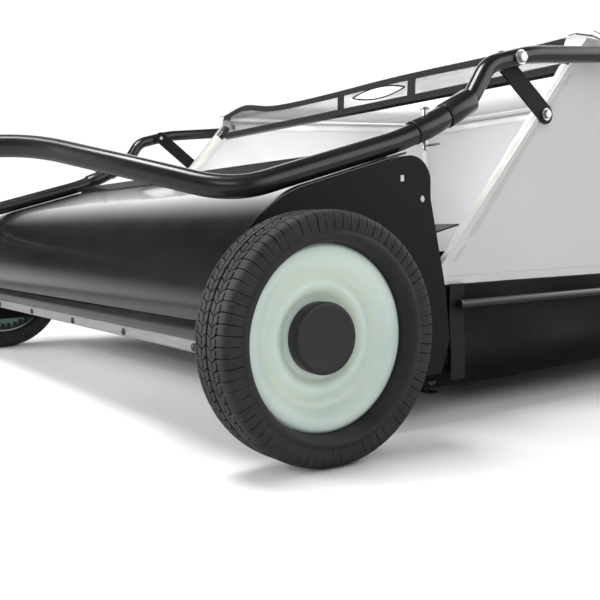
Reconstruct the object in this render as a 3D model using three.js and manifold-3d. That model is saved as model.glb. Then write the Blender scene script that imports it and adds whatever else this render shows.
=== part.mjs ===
// Tow-behind lawn sweeper: hood and side plates around a wheel-driven brush,
// bent draw tubes that meet at a hitch, and a tipping fabric hopper behind.
// Millimetres. X is the wheel axle (+X is the machine's left), the hitch points to -Y,
// the hopper is at +Y, and Z = 0 is the ground.
import * as THREE from 'three';
import { mergeVertices } from 'three/addons/utils/BufferGeometryUtils.js';
import Module from 'manifold-3d';

const wasm = await Module();
wasm.setup();

// ---- driving dimensions ----
const GAP = 0.4; // air between neighbouring pieces

const WHEEL_R = 127;
const TYRE_WIDTH = 64;
const TYRE_FACE_X = 620; // outer side wall of the left tyre
const TYRE_BORE_R = 94.5;
const DISC_EDGE_X = 600; // outer rim edge of the left wheel disc
const DISC_R = 94;
const CAP_R = 36.5;
const AXLE_R = 8;

const RING_TEETH = 40;
const PINION_TEETH = 10;
const GEAR_MODULE = 4;
const RING_PITCH_R = (GEAR_MODULE * RING_TEETH) / 2;
const PINION_PITCH_R = (GEAR_MODULE * PINION_TEETH) / 2;
const GEAR_FACE_X = 551; // inner face of the left gears
const GEAR_WIDTH = 13;
const GEAR_CENTRES = RING_PITCH_R - PINION_PITCH_R;

const BRUSH_RISE = 20; // brush shaft above the wheel axle
const BRUSH_Y = Math.sqrt(GEAR_CENTRES ** 2 - BRUSH_RISE ** 2);
const BRUSH_Z = WHEEL_R + BRUSH_RISE;
const BRUSH_R = 84;
const BRUSH_ROWS = 4;
const SHAFT_R = 8;

const PLATE_X = 540; // outer face of the left side plate
const PLATE_T = 2.5;
const HOOD_R = 137; // radius of the plate edge under the hood
const HOOD_T = 2;
const TOP_SLOPE = THREE.MathUtils.degToRad(15);
const TOP_REAR_Y = 157;
const FLANGE = 18;
const BAR_R = 10.5; // round bar under the hood's front edge
const BAR_Y = -79;
const BAR_Z = 130.5;

const TUBE_R = 12.5;
const TUBE_BORE_R = 10.5;
const TUBE_X = 525;
const ARM_R = 11;
const ARM_BORE_R = 9.2;

const HITCH_FRONT_Y = -690;
const HITCH_Z = 332;
const HITCH_TUBE_X = 30;

const HOPPER_X = 505; // half width of the hopper
const HOPPER_REAR_Y = 1150;
const HOPPER_PIVOT = [345, 441]; // Y, Z of the tipping axis
const VINYL_TOP_Z = 162;
const ROD_R = 8;

const AXLE_Y = -(HITCH_FRONT_Y + HOPPER_REAR_Y) / 2; // puts the origin mid-length

// ---- materials ----
const paint = (color, roughness, metalness) =>
  new THREE.MeshStandardMaterial({ color, roughness, metalness });
const blackPaint = () => paint(0x141313, 0.3, 0.2);
const satinSteel = () => paint(0x8d8f91, 0.4, 0.9);
const rubber = () => paint(0x2b2b2b, 0.85, 0);
const mintNylon = () => paint(0xc4dbcc, 0.45, 0);
const blackPlastic = () => paint(0x232122, 0.4, 0);
const bristle = () => paint(0x1c1c1c, 0.8, 0);
const lightFabric = () => paint(0xdfe1e2, 0.9, 0);
const meshFabric = () => paint(0x3a3a3a, 0.9, 0);
const vinyl = () => paint(0x2a2a2b, 0.55, 0);

const machine = new THREE.Group();
machine.position.y = AXLE_Y;

// ---- geometry helpers ----
function signedVolume(geometry) {
  const p = geometry.attributes.position;
  const index = geometry.index ? geometry.index.array : [...Array(p.count).keys()];
  const corner = [new THREE.Vector3(), new THREE.Vector3(), new THREE.Vector3()];
  let volume = 0;
  for (let i = 0; i < index.length; i += 3) {
    corner.forEach((c, k) => c.fromBufferAttribute(p, index[i + k]));
    volume += corner[0].dot(corner[1].clone().cross(corner[2])) / 6;
  }
  return volume;
}

function closed(geometry) {
  const bare = geometry.clone();
  bare.deleteAttribute('normal');
  bare.deleteAttribute('uv');
  const merged = mergeVertices(bare, 1e-4);
  const kept = [];
  const source = merged.index.array;
  for (let i = 0; i < source.length; i += 3) {
    const [a, b, c] = [source[i], source[i + 1], source[i + 2]];
    if (a !== b && b !== c && c !== a) kept.push(a, b, c);
  }
  merged.setIndex(kept);
  if (signedVolume(merged) < 0) {
    for (let i = 0; i < kept.length; i += 3) [kept[i], kept[i + 1]] = [kept[i + 1], kept[i]];
    merged.setIndex(kept);
  }
  return merged;
}

function toSolid(geometry) {
  const g = closed(geometry);
  const vertProperties = new Float32Array(g.attributes.position.array);
  const triVerts = new Uint32Array(g.index.array);
  return new wasm.Manifold(new wasm.Mesh({ numProp: 3, vertProperties, triVerts }));
}

function fromSolid(solid) {
  const m = solid.getMesh();
  const g = new THREE.BufferGeometry();
  g.setAttribute('position', new THREE.BufferAttribute(new Float32Array(m.vertProperties), 3));
  g.setIndex(Array.from(m.triVerts));
  return g;
}

const joined = (...parts) =>
  fromSolid(parts.slice(1).reduce((s, g) => s.add(toSolid(g)), toSolid(parts[0])));
const cut = (body, ...tools) =>
  fromSolid(tools.reduce((s, g) => s.subtract(toSolid(g)), toSolid(body)));

// A profile of [radius, x] pairs turned about the X axis, centred on (y, z).
function turned(profile, y, z, segments = 40) {
  const points = profile.map(([r, x]) => new THREE.Vector2(r, x));
  const g = new THREE.LatheGeometry(points, segments);
  const toX = new THREE.Matrix4().makeBasis(
    new THREE.Vector3(0, 1, 0), new THREE.Vector3(1, 0, 0), new THREE.Vector3(0, 0, -1));
  return g.applyMatrix4(toX).translate(0, y, z);
}

const ring = (inner, outer, x0, x1, y, z, segments) =>
  turned([[inner, x0], [outer, x0], [outer, x1], [inner, x1], [inner, x0]], y, z, segments);
const rodX = (r, x0, x1, y, z, segments = 16) =>
  turned([[0, x0], [r, x0], [r, x1], [0, x1]], y, z, segments);
const rodZ = (r, z0, z1, x, y, segments = 12) =>
  new THREE.CylinderGeometry(r, r, z1 - z0, segments).rotateX(Math.PI / 2)
    .translate(x, y, (z0 + z1) / 2);

// An outline of [y, z] pairs, extruded along X from x0 to x1.
function extrudedX(outline, x0, x1, holes = []) {
  const shape = new THREE.Shape(outline.map(([y, z]) => new THREE.Vector2(y, z)));
  shape.holes = holes.map((h) => new THREE.Path(h.map(([y, z]) => new THREE.Vector2(y, z))));
  const g = new THREE.ExtrudeGeometry(shape, { depth: x1 - x0, bevelEnabled: false });
  const toX = new THREE.Matrix4().makeBasis(
    new THREE.Vector3(0, 1, 0), new THREE.Vector3(0, 0, 1), new THREE.Vector3(1, 0, 0));
  return g.applyMatrix4(toX).translate(x0, 0, 0);
}

const boxBetween = (x0, x1, y0, y1, z0, z1) =>
  new THREE.BoxGeometry(x1 - x0, y1 - y0, z1 - z0)
    .translate((x0 + x1) / 2, (y0 + y1) / 2, (z0 + z1) / 2);

const circle = (y, z, r, n = 16) =>
  Array.from({ length: n }, (_, i) => {
    const a = (2 * Math.PI * i) / n;
    return [y + r * Math.cos(a), z + r * Math.sin(a)];
  });

const arc = (y, z, r, fromDeg, toDeg, steps) =>
  Array.from({ length: steps + 1 }, (_, i) => {
    const a = THREE.MathUtils.degToRad(fromDeg + ((toDeg - fromDeg) * i) / steps);
    return [y + r * Math.cos(a), z + r * Math.sin(a)];
  });

// A polyline of [y, z] pairs thickened to its left by t: a folded sheet's section.
function sheetSection(line, t) {
  const shifted = line.map(([y, z], i) => {
    const [py, pz] = line[Math.max(i - 1, 0)];
    const [ny, nz] = line[Math.min(i + 1, line.length - 1)];
    const before = i > 0 ? Math.atan2(z - pz, y - py) : Math.atan2(nz - z, ny - y);
    const after = i < line.length - 1 ? Math.atan2(nz - z, ny - y) : before;
    let turn = after - before;
    if (turn > Math.PI) turn -= 2 * Math.PI;
    if (turn < -Math.PI) turn += 2 * Math.PI;
    const normal = before + turn / 2 + Math.PI / 2;
    const reach = t / Math.cos(turn / 2);
    return [y + reach * Math.cos(normal), z + reach * Math.sin(normal)];
  });
  return [...line, ...shifted.reverse()];
}

// A route through corner points, each corner rounded off over `ease` millimetres.
class Route extends THREE.Curve {
  constructor(corners, ease, bendSteps = 3) {
    super();
    const v = corners.map((c) => new THREE.Vector3(...c));
    this.stops = [v[0]];
    for (let i = 1; i < v.length - 1; i++) {
      const back = v[i - 1].clone().sub(v[i]);
      const ahead = v[i + 1].clone().sub(v[i]);
      const reach = Math.min(ease, back.length() * 0.49, ahead.length() * 0.49);
      const bend = new THREE.QuadraticBezierCurve3(
        v[i].clone().addScaledVector(back.normalize(), reach), v[i],
        v[i].clone().addScaledVector(ahead.normalize(), reach));
      this.stops.push(...bend.getPoints(bendSteps));
    }
    this.stops.push(v[v.length - 1]);
    this.count = this.stops.length - 1;
  }

  getPoint(t) {
    const s = Math.min(Math.max(t, 0), 1) * this.count;
    const i = Math.min(Math.floor(s), this.count - 1);
    return this.stops[i].clone().lerp(this.stops[i + 1], s - i);
  }

  getPointAt(t) {
    return this.getPoint(t);
  }

  getSpacedPoints(n) {
    return Array.from({ length: n + 1 }, (_, i) => this.getPoint(i / n));
  }

  getTangentAt(t) {
    const i = Math.round(t * this.count);
    const a = this.stops[Math.max(i - 1, 0)];
    const b = this.stops[i];
    const c = this.stops[Math.min(i + 1, this.count)];
    const incoming = i > 0 ? b.clone().sub(a).normalize() : c.clone().sub(b).normalize();
    const outgoing = i < this.count ? c.clone().sub(b).normalize() : incoming;
    return incoming.clone().add(outgoing).normalize();
  }
}

function tube(corners, outer, inner, ease, sides = 8) {
  const route = new Route(corners, ease);
  const around = (r, path) => {
    circle(0, 0, r, sides).forEach(([x, y], i) => (i ? path.lineTo(x, y) : path.moveTo(x, y)));
    path.closePath();
    return path;
  };
  const section = around(outer, new THREE.Shape());
  if (inner > 0) section.holes.push(around(inner, new THREE.Path()));
  return new THREE.ExtrudeGeometry(section,
    { steps: route.count, extrudePath: route, bevelEnabled: false });
}

function mirrored(geometry) {
  return closed(geometry.clone().scale(-1, 1, 1));
}

function add(name, geometry, material) {
  const mesh = new THREE.Mesh(closed(geometry), material);
  mesh.name = name;
  machine.add(mesh);
}

// The left piece as given, and its mirror image on the right.
function addPair(name, geometry, makeMaterial) {
  add(`${name}_left`, geometry, makeMaterial());
  add(`${name}_right`, mirrored(closed(geometry)), makeMaterial());
}

// ---- housing ----
const topZ = (y) => BRUSH_Z + HOOD_R / Math.cos(TOP_SLOPE) + (y - BRUSH_Y) * Math.tan(TOP_SLOPE);
const TANGENT_DEG = 90 + THREE.MathUtils.radToDeg(TOP_SLOPE);
const HOOD_LOW_DEG = 182; // where the hood ends, above the front bar

function plateOutline(inset) {
  const rearTop = [TOP_REAR_Y, topZ(TOP_REAR_Y)];
  const corner = 30;
  const centre = [rearTop[0] + 6, rearTop[1] - corner - 1];
  return [
    ...arc(BRUSH_Y, BRUSH_Z, HOOD_R - inset, TANGENT_DEG, 204, 14),
    [-34, 62 + inset], [206 - inset, 62 + inset], [220 - inset, 100],
    [213 - inset, 168], [192.5 - inset, 266],
    ...arc(centre[0], centre[1], corner - inset, 8, TANGENT_DEG, 6),
  ];
}

function squareHole(y, z, side) {
  const h = side / 2;
  return [[y - h, z - h], [y + h, z - h], [y + h, z + h], [y - h, z + h]];
}

const plateHoles = [
  squareHole(151.7, 289, 7), circle(181.4, 266, 4, 12), circle(95.4, 242.8, 4.2, 12),
  circle(BRUSH_Y, BRUSH_Z, 17, 20), circle(0, WHEEL_R, 11, 16),
];
const sideFlat = extrudedX(plateOutline(0), PLATE_X - PLATE_T, PLATE_X, plateHoles);
const rimSolid = toSolid(extrudedX(plateOutline(0), PLATE_X - FLANGE, PLATE_X - PLATE_T))
  .subtract(toSolid(extrudedX(plateOutline(PLATE_T), PLATE_X - FLANGE - 1, PLATE_X)));
const flangeKeep = boxBetween(0, PLATE_X + 5, -100, 160, BAR_Z + BAR_R + 1, 330);
const flange = fromSolid(rimSolid.intersect(toSolid(flangeKeep)));
addPair('side_plate', joined(sideFlat, flange), blackPaint);

const hoodOffset = HOOD_R + GAP;
const hoodRear = 158;
const hoodTopLine = (y) => topZ(y) + GAP / Math.cos(TOP_SLOPE);
const hoodLine = [
  ...arc(BRUSH_Y, BRUSH_Z, hoodOffset, HOOD_LOW_DEG, TANGENT_DEG, 12),
  [hoodRear, hoodTopLine(hoodRear)],
];
const hoodSheet = extrudedX(sheetSection(hoodLine, HOOD_T), -PLATE_X, PLATE_X);
const LIP_HALF = TUBE_X - TUBE_R - 9;
const lipLine = [[hoodRear - HOOD_T, hoodTopLine(hoodRear) + 0.5], [hoodRear - HOOD_T, 329]];
const hoodLip = extrudedX(sheetSection(lipLine, HOOD_T), -LIP_HALF, LIP_HALF);
add('hood', joined(hoodSheet, hoodLip), blackPaint());

const barInside = PLATE_X - PLATE_T - GAP;
add('front_bar', rodX(BAR_R, -barInside, barInside, BAR_Y, BAR_Z), blackPaint());
const stripTop = BAR_Z - BAR_R - 1.2;
add('front_strip', boxBetween(-barInside + 2, barInside - 2, BAR_Y - 2, BAR_Y + 1,
  stripTop - 12, stripTop), satinSteel());

const shelfLine = [[150, 215.5], [186, 223.5], [240, 236]];
add('rear_shelf', extrudedX(sheetSection(shelfLine, 2), -PLATE_X + PLATE_T + GAP,
  PLATE_X - PLATE_T - GAP), blackPaint());

addPair('brush_bearing', ring(SHAFT_R + GAP, 16.6, PLATE_X - 8, PLATE_X + 4,
  BRUSH_Y, BRUSH_Z, 20), blackPlastic);

// ---- stub axles, bolted through the plates ----
const axleNutX = 586;
const stubAxle = turned([
  [0, PLATE_X - 14], [16, PLATE_X - 14], [16, PLATE_X - PLATE_T - GAP],
  [10.6, PLATE_X - PLATE_T - GAP], [10.6, PLATE_X + GAP], [20, PLATE_X + GAP],
  [20, PLATE_X + 6], [AXLE_R, PLATE_X + 6], [AXLE_R, 594], [0, 594],
], 0, WHEEL_R, 24);
addPair('wheel_axle', stubAxle, satinSteel);
addPair('axle_nut', joined(ring(AXLE_R + GAP, 15, axleNutX, axleNutX + 2, 0, WHEEL_R, 20),
  extrudedX(circle(0, WHEEL_R, 13, 6), axleNutX + 1, axleNutX + 6.5,
    [circle(0, WHEEL_R, AXLE_R + GAP, 20)])), satinSteel);

// ---- wheels ----
const face = TYRE_FACE_X;
const back = TYRE_FACE_X - TYRE_WIDTH;
const tyreProfile = [
  [TYRE_BORE_R, back + 12], [99, back + 2], [108, back], [119, back + 2],
  [WHEEL_R - 2, back + 6], [WHEEL_R, back + 12], [WHEEL_R, face - 9],
  [WHEEL_R - 1.5, face - 3.5], [WHEEL_R - 4, face - 1], [118, face], [102, face],
  [98.5, face - 1.5], [97, face - 5], [TYRE_BORE_R, face - 18], [TYRE_BORE_R, back + 12],
];
addPair('tyre', turned(tyreProfile, 0, WHEEL_R, 32), rubber);

const edge = DISC_EDGE_X;
const discFace = [
  [DISC_R, edge - 2], [90, edge + 0.5], [83, edge], [77, edge - 4], [71, edge - 9],
  [65, edge - 10.5], [59, edge - 9], [53, edge - 8.5], [47, edge - 11], [42, edge - 14.6],
  [AXLE_R + GAP, edge - 14.6],
];
const discBack = [
  [AXLE_R + GAP, PLATE_X + 8], [20, PLATE_X + 8], [22, edge - 20], [44, edge - 19],
  [52, edge - 13], [65, edge - 15], [76, edge - 9], [83, edge - 5], [88.5, edge - 6],
  [90, back + 14], [DISC_R, back + 14],
];
addPair('wheel_disc', turned([...discFace, ...discBack, discFace[0]], 0, WHEEL_R, 24), mintNylon);

const capProfile = [
  [0, edge + 0.4], [30, edge + 0.1], [35, edge - 1], [CAP_R, edge - 3], [CAP_R, edge - 14.2],
  [CAP_R - 3, edge - 14.2], [CAP_R - 3, edge - 5], [0, edge - 3],
];
addPair('hub_cap', turned(capProfile, 0, WHEEL_R, 24), blackPlastic);

// Tooth outlines: four points per tooth, [radius, share of the pitch] from root to root.
function gearOutline(y, z, teeth, root, tip, toothAngle) {
  const pitch = (2 * Math.PI) / teeth;
  const corners = [[root, -0.24], [tip, -0.12], [tip, 0.12], [root, 0.24]];
  return Array.from({ length: teeth }, (_, i) => corners.map(([r, share]) => {
    const a = toothAngle + (i + share) * pitch;
    return [y + r * Math.cos(a), z + r * Math.sin(a)];
  })).flat();
}

const meshAngle = Math.atan2(BRUSH_RISE, BRUSH_Y);
const ringTeeth = gearOutline(0, WHEEL_R, RING_TEETH, RING_PITCH_R + 4, RING_PITCH_R - 3,
  meshAngle + Math.PI / RING_TEETH);
addPair('ring_gear', extrudedX(circle(0, WHEEL_R, 89.2, 48), GEAR_FACE_X, GEAR_FACE_X + GEAR_WIDTH,
  [ringTeeth]), mintNylon);
const pinionTeeth = gearOutline(BRUSH_Y, BRUSH_Z, PINION_TEETH, PINION_PITCH_R - 3.8,
  PINION_PITCH_R + 3, meshAngle);
addPair('pinion', extrudedX(pinionTeeth, GEAR_FACE_X, GEAR_FACE_X + GEAR_WIDTH,
  [circle(BRUSH_Y, BRUSH_Z, SHAFT_R + GAP, 16)]), blackPlastic);

// ---- brush ----
const brushHalf = PLATE_X - PLATE_T - 14;
add('brush_shaft', rodX(SHAFT_R, -GEAR_FACE_X - GEAR_WIDTH - 4, GEAR_FACE_X + GEAR_WIDTH + 4,
  BRUSH_Y, BRUSH_Z, 16), satinSteel());
const HUB_X = [-360, 0, 360];
const hubs = HUB_X.map((x) => ring(SHAFT_R + GAP, 30, x - 9, x + 9, BRUSH_Y, BRUSH_Z, 24));
const placedRow = (geometry, i) =>
  geometry.rotateX(Math.PI / 4 + (i * 2 * Math.PI) / BRUSH_ROWS).translate(0, BRUSH_Y, BRUSH_Z);
const channels = [];
for (let i = 0; i < BRUSH_ROWS; i++) {
  channels.push(placedRow(boxBetween(-brushHalf, brushHalf, 27, 44, -11, 11), i));
  add(`bristle_row_${i + 1}`, placedRow(boxBetween(-brushHalf + 2, brushHalf - 2, 44 + GAP,
    BRUSH_R, -9, 9), i), bristle());
}
add('brush_core', joined(...hubs, ...channels), blackPaint());

// ---- draw tubes, sleeves and hopper arms ----
const tubeZ = (y) => topZ(y) + (2 * GAP + HOOD_T + TUBE_R) / Math.cos(TOP_SLOPE);
const sleeveStart = [TUBE_X, 228, 362.5];
const sleeveEnd = [TUBE_X, 268, 383];
const along = (a, b, t) => a.map((v, i) => v + (b[i] - v) * t);
const drawRoute = [
  along(sleeveStart, sleeveEnd, 0.45), along(sleeveStart, sleeveEnd, -0.25),
  [TUBE_X, 166, tubeZ(166)], [TUBE_X, -58, tubeZ(-58)],
  [455, -118, 298], [325, -196, 334], [HITCH_TUBE_X, -560, HITCH_Z],
  [HITCH_TUBE_X, -650, HITCH_Z],
];
const pinY = 198;
const pinZ = 349.5;
const hitchBoltY = -622;
const drawTube = cut(tube(drawRoute, TUBE_R, TUBE_BORE_R, 42),
  rodZ(4 + GAP, pinZ - 30, pinZ + 30, TUBE_X, pinY),
  rodZ(4 + GAP, HITCH_Z - 20, HITCH_Z + 20, HITCH_TUBE_X, hitchBoltY));
addPair('draw_tube', drawTube, blackPaint);

const armRoute = [
  along(sleeveStart, sleeveEnd, 0.55), [TUBE_X, 270, 384], [TUBE_X, 300, 428],
  [TUBE_X, 372, 446.5], [TUBE_X, 547, 462],
];
const [pivotY, pivotZ] = HOPPER_PIVOT;
const armTube = cut(tube(armRoute, ARM_R, ARM_BORE_R, 16),
  rodX(5 + GAP, 500, 560, pivotY, pivotZ - 2, 12),
  rodZ(4 + GAP, 420, 500, TUBE_X, 523));
addPair('hopper_arm', armTube, blackPaint);
addPair('tube_sleeve', tube([sleeveStart, sleeveEnd], 15.5, TUBE_R + GAP + 0.2, 1, 16), blackPaint);

const pinHead = rodZ(7.5, pinZ + TUBE_R + 5.5, pinZ + TUBE_R + 10, TUBE_X, pinY);
const pinShank = rodZ(4, pinZ - 27, pinZ + TUBE_R + 6, TUBE_X, pinY);
const clipZ = pinZ - 22;
const clip = tube([[TUBE_X - 7, pinY, clipZ], [TUBE_X + 9, pinY, clipZ],
  [TUBE_X + 11, pinY + 6, clipZ - 1], [TUBE_X + 6.5, pinY + 12, clipZ - 3],
  [TUBE_X - 9, pinY + 10, clipZ - 3]], 1.1, 0, 3, 8);
addPair('arm_pin', joined(pinHead, pinShank, clip), satinSteel);

const hookX = TUBE_X;
const hookStem = rodZ(4, 428, 482, hookX, 523);
const hookArm = tube([[hookX, 523, 478], [hookX - 3, 523, 489], [hookX - 17, 520, 490]],
  3.6, 0, 4, 8);
const hookNut = rodZ(8, 438, 444, hookX, 523, 6);
addPair('hopper_hook', joined(hookStem, hookArm, hookNut), satinSteel);

const pivotBoltZ = pivotZ - 2;
const pivotBolt = joined(rodX(5, HOPPER_X + GAP, TUBE_X + ARM_R + 2, pivotY, pivotBoltZ, 12),
  rodX(9, TUBE_X + ARM_R + 1.2, TUBE_X + ARM_R + 7, pivotY, pivotBoltZ, 6));
addPair('pivot_bolt', pivotBolt, satinSteel);

// ---- hitch ----
const plateGap = TUBE_R + GAP;
const hitchHalf = HITCH_TUBE_X + 16;
const hitchPinY = HITCH_FRONT_Y + 22;
const hitchPlates = joined(
  boxBetween(-hitchHalf, hitchHalf, HITCH_FRONT_Y, -585, HITCH_Z + plateGap, HITCH_Z + plateGap + 4),
  boxBetween(-hitchHalf, hitchHalf, HITCH_FRONT_Y, -585, HITCH_Z - plateGap - 4, HITCH_Z - plateGap),
  boxBetween(-14, 14, -650, -600, HITCH_Z - plateGap - 1, HITCH_Z + plateGap + 1));
const boltCut = (x) => rodZ(4 + GAP, HITCH_Z - 30, HITCH_Z + 30, x, hitchBoltY);
add('hitch_bracket', cut(hitchPlates, boltCut(HITCH_TUBE_X), boltCut(-HITCH_TUBE_X),
  rodZ(8 + GAP, HITCH_Z - 30, HITCH_Z + 30, 0, hitchPinY, 20)), blackPaint());
addPair('hitch_bolt', joined(
  rodZ(4, HITCH_Z - plateGap - 8, HITCH_Z + plateGap + 5, HITCH_TUBE_X, hitchBoltY),
  rodZ(8, HITCH_Z + plateGap + 4.4, HITCH_Z + plateGap + 9, HITCH_TUBE_X, hitchBoltY, 6)),
satinSteel);
add('hitch_pin', joined(rodZ(8, HITCH_Z - 34, HITCH_Z + plateGap + 5, 0, hitchPinY, 20),
  rodZ(15, HITCH_Z + plateGap + 4.5, HITCH_Z + plateGap + 10, 0, hitchPinY, 20)), satinSteel());

// ---- hopper frame ----
const mouthFoot = [228, 150];
const mouthTop = [504, 466];
const rodX0 = HOPPER_X - 3 - 1 - ROD_R;
const rodEnd = rodX0 - ROD_R - 0.5;
addPair('hopper_strut', tube([[rodX0, ...mouthFoot], [rodX0, ...mouthTop]], ROD_R, 0, 1, 10),
  blackPaint);
add('hopper_front_rod', rodX(ROD_R, -rodEnd, rodEnd, 500, 447, 12), blackPaint());
addPair('hopper_rail', tube([[rodX0, 522, 469], [rodX0, 1094, 486], [rodX0, 1132, 168]],
  ROD_R, 0, 40, 10), blackPaint);
add('hopper_rear_rod', rodX(ROD_R, -rodEnd, rodEnd, 1094, 478, 12), blackPaint());
add('hopper_sill_rod', rodX(ROD_R, -rodX0, rodX0, 234, 46, 12), blackPaint());
addPair('hopper_side_rod', tube([[HOPPER_X + 7.5, 262, 138], [HOPPER_X + 7.5, 1128, 138]],
  6, 0, 1, 10), blackPaint);

// The hanger links carry the hopper's sides on the tipping bolts.
const hangerFar = [424, 377];
const linkHalf = 13;
const linkAngle = Math.atan2(hangerFar[1] - pivotBoltZ, hangerFar[0] - pivotY);
const linkDeg = THREE.MathUtils.radToDeg(linkAngle);
const link = extrudedX([
  ...arc(pivotY, pivotBoltZ, linkHalf, linkDeg + 90, linkDeg + 270, 8),
  ...arc(hangerFar[0], hangerFar[1], linkHalf, linkDeg - 90, linkDeg + 90, 8),
], HOPPER_X + GAP, HOPPER_X + GAP + 3, [
  circle(pivotY, pivotBoltZ, 5 + GAP, 12), circle(hangerFar[0], hangerFar[1], 4 + GAP, 12),
]);
addPair('hanger_link', link, satinSteel);
addPair('hanger_bolt', joined(
  rodX(4, HOPPER_X + GAP, HOPPER_X + 5, hangerFar[0], hangerFar[1], 12),
  rodX(7, HOPPER_X + 3.8, HOPPER_X + 7.6, hangerFar[0], hangerFar[1], 6)), satinSteel);

// ---- hopper cloth: a vinyl floor tray, light sides and back, and a mesh top with an apron ----
const CLOTH_T = 3;
const clothInside = HOPPER_X - CLOTH_T;
const trayOutside = [[222, 26], [215, 36], [215, VINYL_TOP_Z], [HOPPER_REAR_Y, VINYL_TOP_Z],
  [HOPPER_REAR_Y, 140], [1128, 86], [1070, 50], [400, 26]];
const trayInside = [[223, 29], [218, 37], [218, 180], [HOPPER_REAR_Y - CLOTH_T, 180],
  [HOPPER_REAR_Y - CLOTH_T, 140], [1126, 88], [1068, 53], [400, 29]];
const SILL_Z = 64;
add('hopper_floor', cut(extrudedX(trayOutside, -HOPPER_X, HOPPER_X),
  extrudedX(trayInside, -clothInside, clothInside),
  boxBetween(-clothInside, clothInside, 200, 220, SILL_Z, 190)), vinyl());

const wallFoot = VINYL_TOP_Z + GAP;
const WALL_TOP = [[509, 484], [1110, 500]];
const wallOutside = [[215, wallFoot], ...WALL_TOP, [HOPPER_REAR_Y, wallFoot]];
const wallInside = [[150, wallFoot - 20], [450, 560], [1106, 560], [1106, 500],
  [HOPPER_REAR_Y - CLOTH_T, wallFoot], [HOPPER_REAR_Y - CLOTH_T, wallFoot - 20]];
add('hopper_bag', cut(extrudedX(wallOutside, -HOPPER_X, HOPPER_X),
  extrudedX(wallInside, -clothInside, clothInside)), lightFabric());

const apronLine = [[487, 441], [489, 478], [506, 487.5]];
const panelLine = [[503, 486.5], [1110, 502.5]];
add('hopper_top', joined(
  extrudedX(sheetSection(apronLine, CLOTH_T), -rodEnd, rodEnd),
  extrudedX(sheetSection(panelLine, CLOTH_T), -clothInside + 0.5, clothInside - 0.5)),
meshFabric());

export default machine;
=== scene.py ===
"""A tow-behind lawn sweeper: gloss black hood and frame, two nylon wheels with herringbone
rubber tyres, a four row brush, and a cloth hopper with a mesh top behind it."""

import math
import random

import bmesh
import bpy
from mathutils import Matrix, Vector


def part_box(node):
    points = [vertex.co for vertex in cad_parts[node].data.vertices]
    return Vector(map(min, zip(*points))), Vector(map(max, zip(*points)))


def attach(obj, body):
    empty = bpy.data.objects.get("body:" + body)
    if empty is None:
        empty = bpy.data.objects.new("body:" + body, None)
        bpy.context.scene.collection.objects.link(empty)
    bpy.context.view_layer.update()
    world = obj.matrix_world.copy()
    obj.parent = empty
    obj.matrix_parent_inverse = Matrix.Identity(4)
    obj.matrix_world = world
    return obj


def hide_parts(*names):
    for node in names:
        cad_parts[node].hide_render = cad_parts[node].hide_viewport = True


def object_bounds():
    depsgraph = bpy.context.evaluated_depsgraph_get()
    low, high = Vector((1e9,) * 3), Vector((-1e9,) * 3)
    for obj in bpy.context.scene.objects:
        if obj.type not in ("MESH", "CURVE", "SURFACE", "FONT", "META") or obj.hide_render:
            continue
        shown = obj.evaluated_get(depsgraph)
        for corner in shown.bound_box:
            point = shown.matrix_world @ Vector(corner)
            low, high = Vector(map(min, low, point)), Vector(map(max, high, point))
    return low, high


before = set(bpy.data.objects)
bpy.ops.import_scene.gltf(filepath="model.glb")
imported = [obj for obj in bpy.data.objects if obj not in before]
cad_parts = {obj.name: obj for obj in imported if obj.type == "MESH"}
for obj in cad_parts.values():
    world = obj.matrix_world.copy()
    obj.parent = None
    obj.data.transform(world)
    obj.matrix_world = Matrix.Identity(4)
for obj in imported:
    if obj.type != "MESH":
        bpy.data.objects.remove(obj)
CAD_LOW, CAD_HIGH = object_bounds()

MM = 0.001
SIDES = ((1, "left"), (-1, "right"))

axle_low, axle_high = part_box("wheel_axle_left")
AXLE_Y = (axle_low.y + axle_high.y) / 2
AXLE_Z = (axle_low.z + axle_high.z) / 2 / MM
FLOOR_Z = CAD_LOW.z

# Sizes in millimetres. Y counts back from the axle line, Z up from the ground.
TREAD_MIDDLE = 588.0
PITCHES = 74
BRUSH_Y, BRUSH_Z, BRUSH_R = 56.569, 147.0, 84.0
CORE_EDGE = 44.4  # radius at which the filaments leave the brush core
HOOD_IN = 137.0  # inside of the hood, and the side plate's edge under it
HOOD_R, HOOD_T = 139.4, 2.0
SLOPE = math.radians(15)
PLATE_IN, PLATE_OUT = 537.5, 540.0
BAR_Y, BAR_Z = -79.0, 130.5  # bar under the hood's front edge
TUBE_X = 525.0  # draw tube and arm, out from the middle
TUBE_R, TUBE_BORE = 12.5, 10.5
ARM_R, ARM_BORE = 11.0, 9.2
ROD_R = 8.0
BAG_X = 508.0
MOUTH_X = 493.0  # struts and rails of the hopper, out from the middle
PIVOT = (345.0, 439.0)  # bolt that the hopper tips on
LINK_FOOT = (424.0, 377.0)  # screw at the foot of the hanger strap
HITCH_BOLT_Y = -622.0


def at(x, y, z):
    """A point in metres in the frame from sizes in millimetres from the axle line."""
    return Vector((x * MM, AXLE_Y + y * MM, z * MM))


def top_z(y):
    """Height of the hood's sloping top over a place along the machine."""
    return BRUSH_Z + HOOD_IN / math.cos(SLOPE) + (y - BRUSH_Y) * math.tan(SLOPE)


def tube_z(y):
    """Height of the draw tube's centre line where it lies on the hood."""
    return top_z(y) + 15.3 / math.cos(SLOPE)


# ---------------------------------------------------------------- shapes


def joined(parts):
    """Several (points, faces) pairs as one."""
    points, faces = [], []
    for more_points, more_faces in parts:
        first = len(points)
        points += more_points
        faces += [[i + first for i in face] for face in more_faces]
    return points, faces


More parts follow.
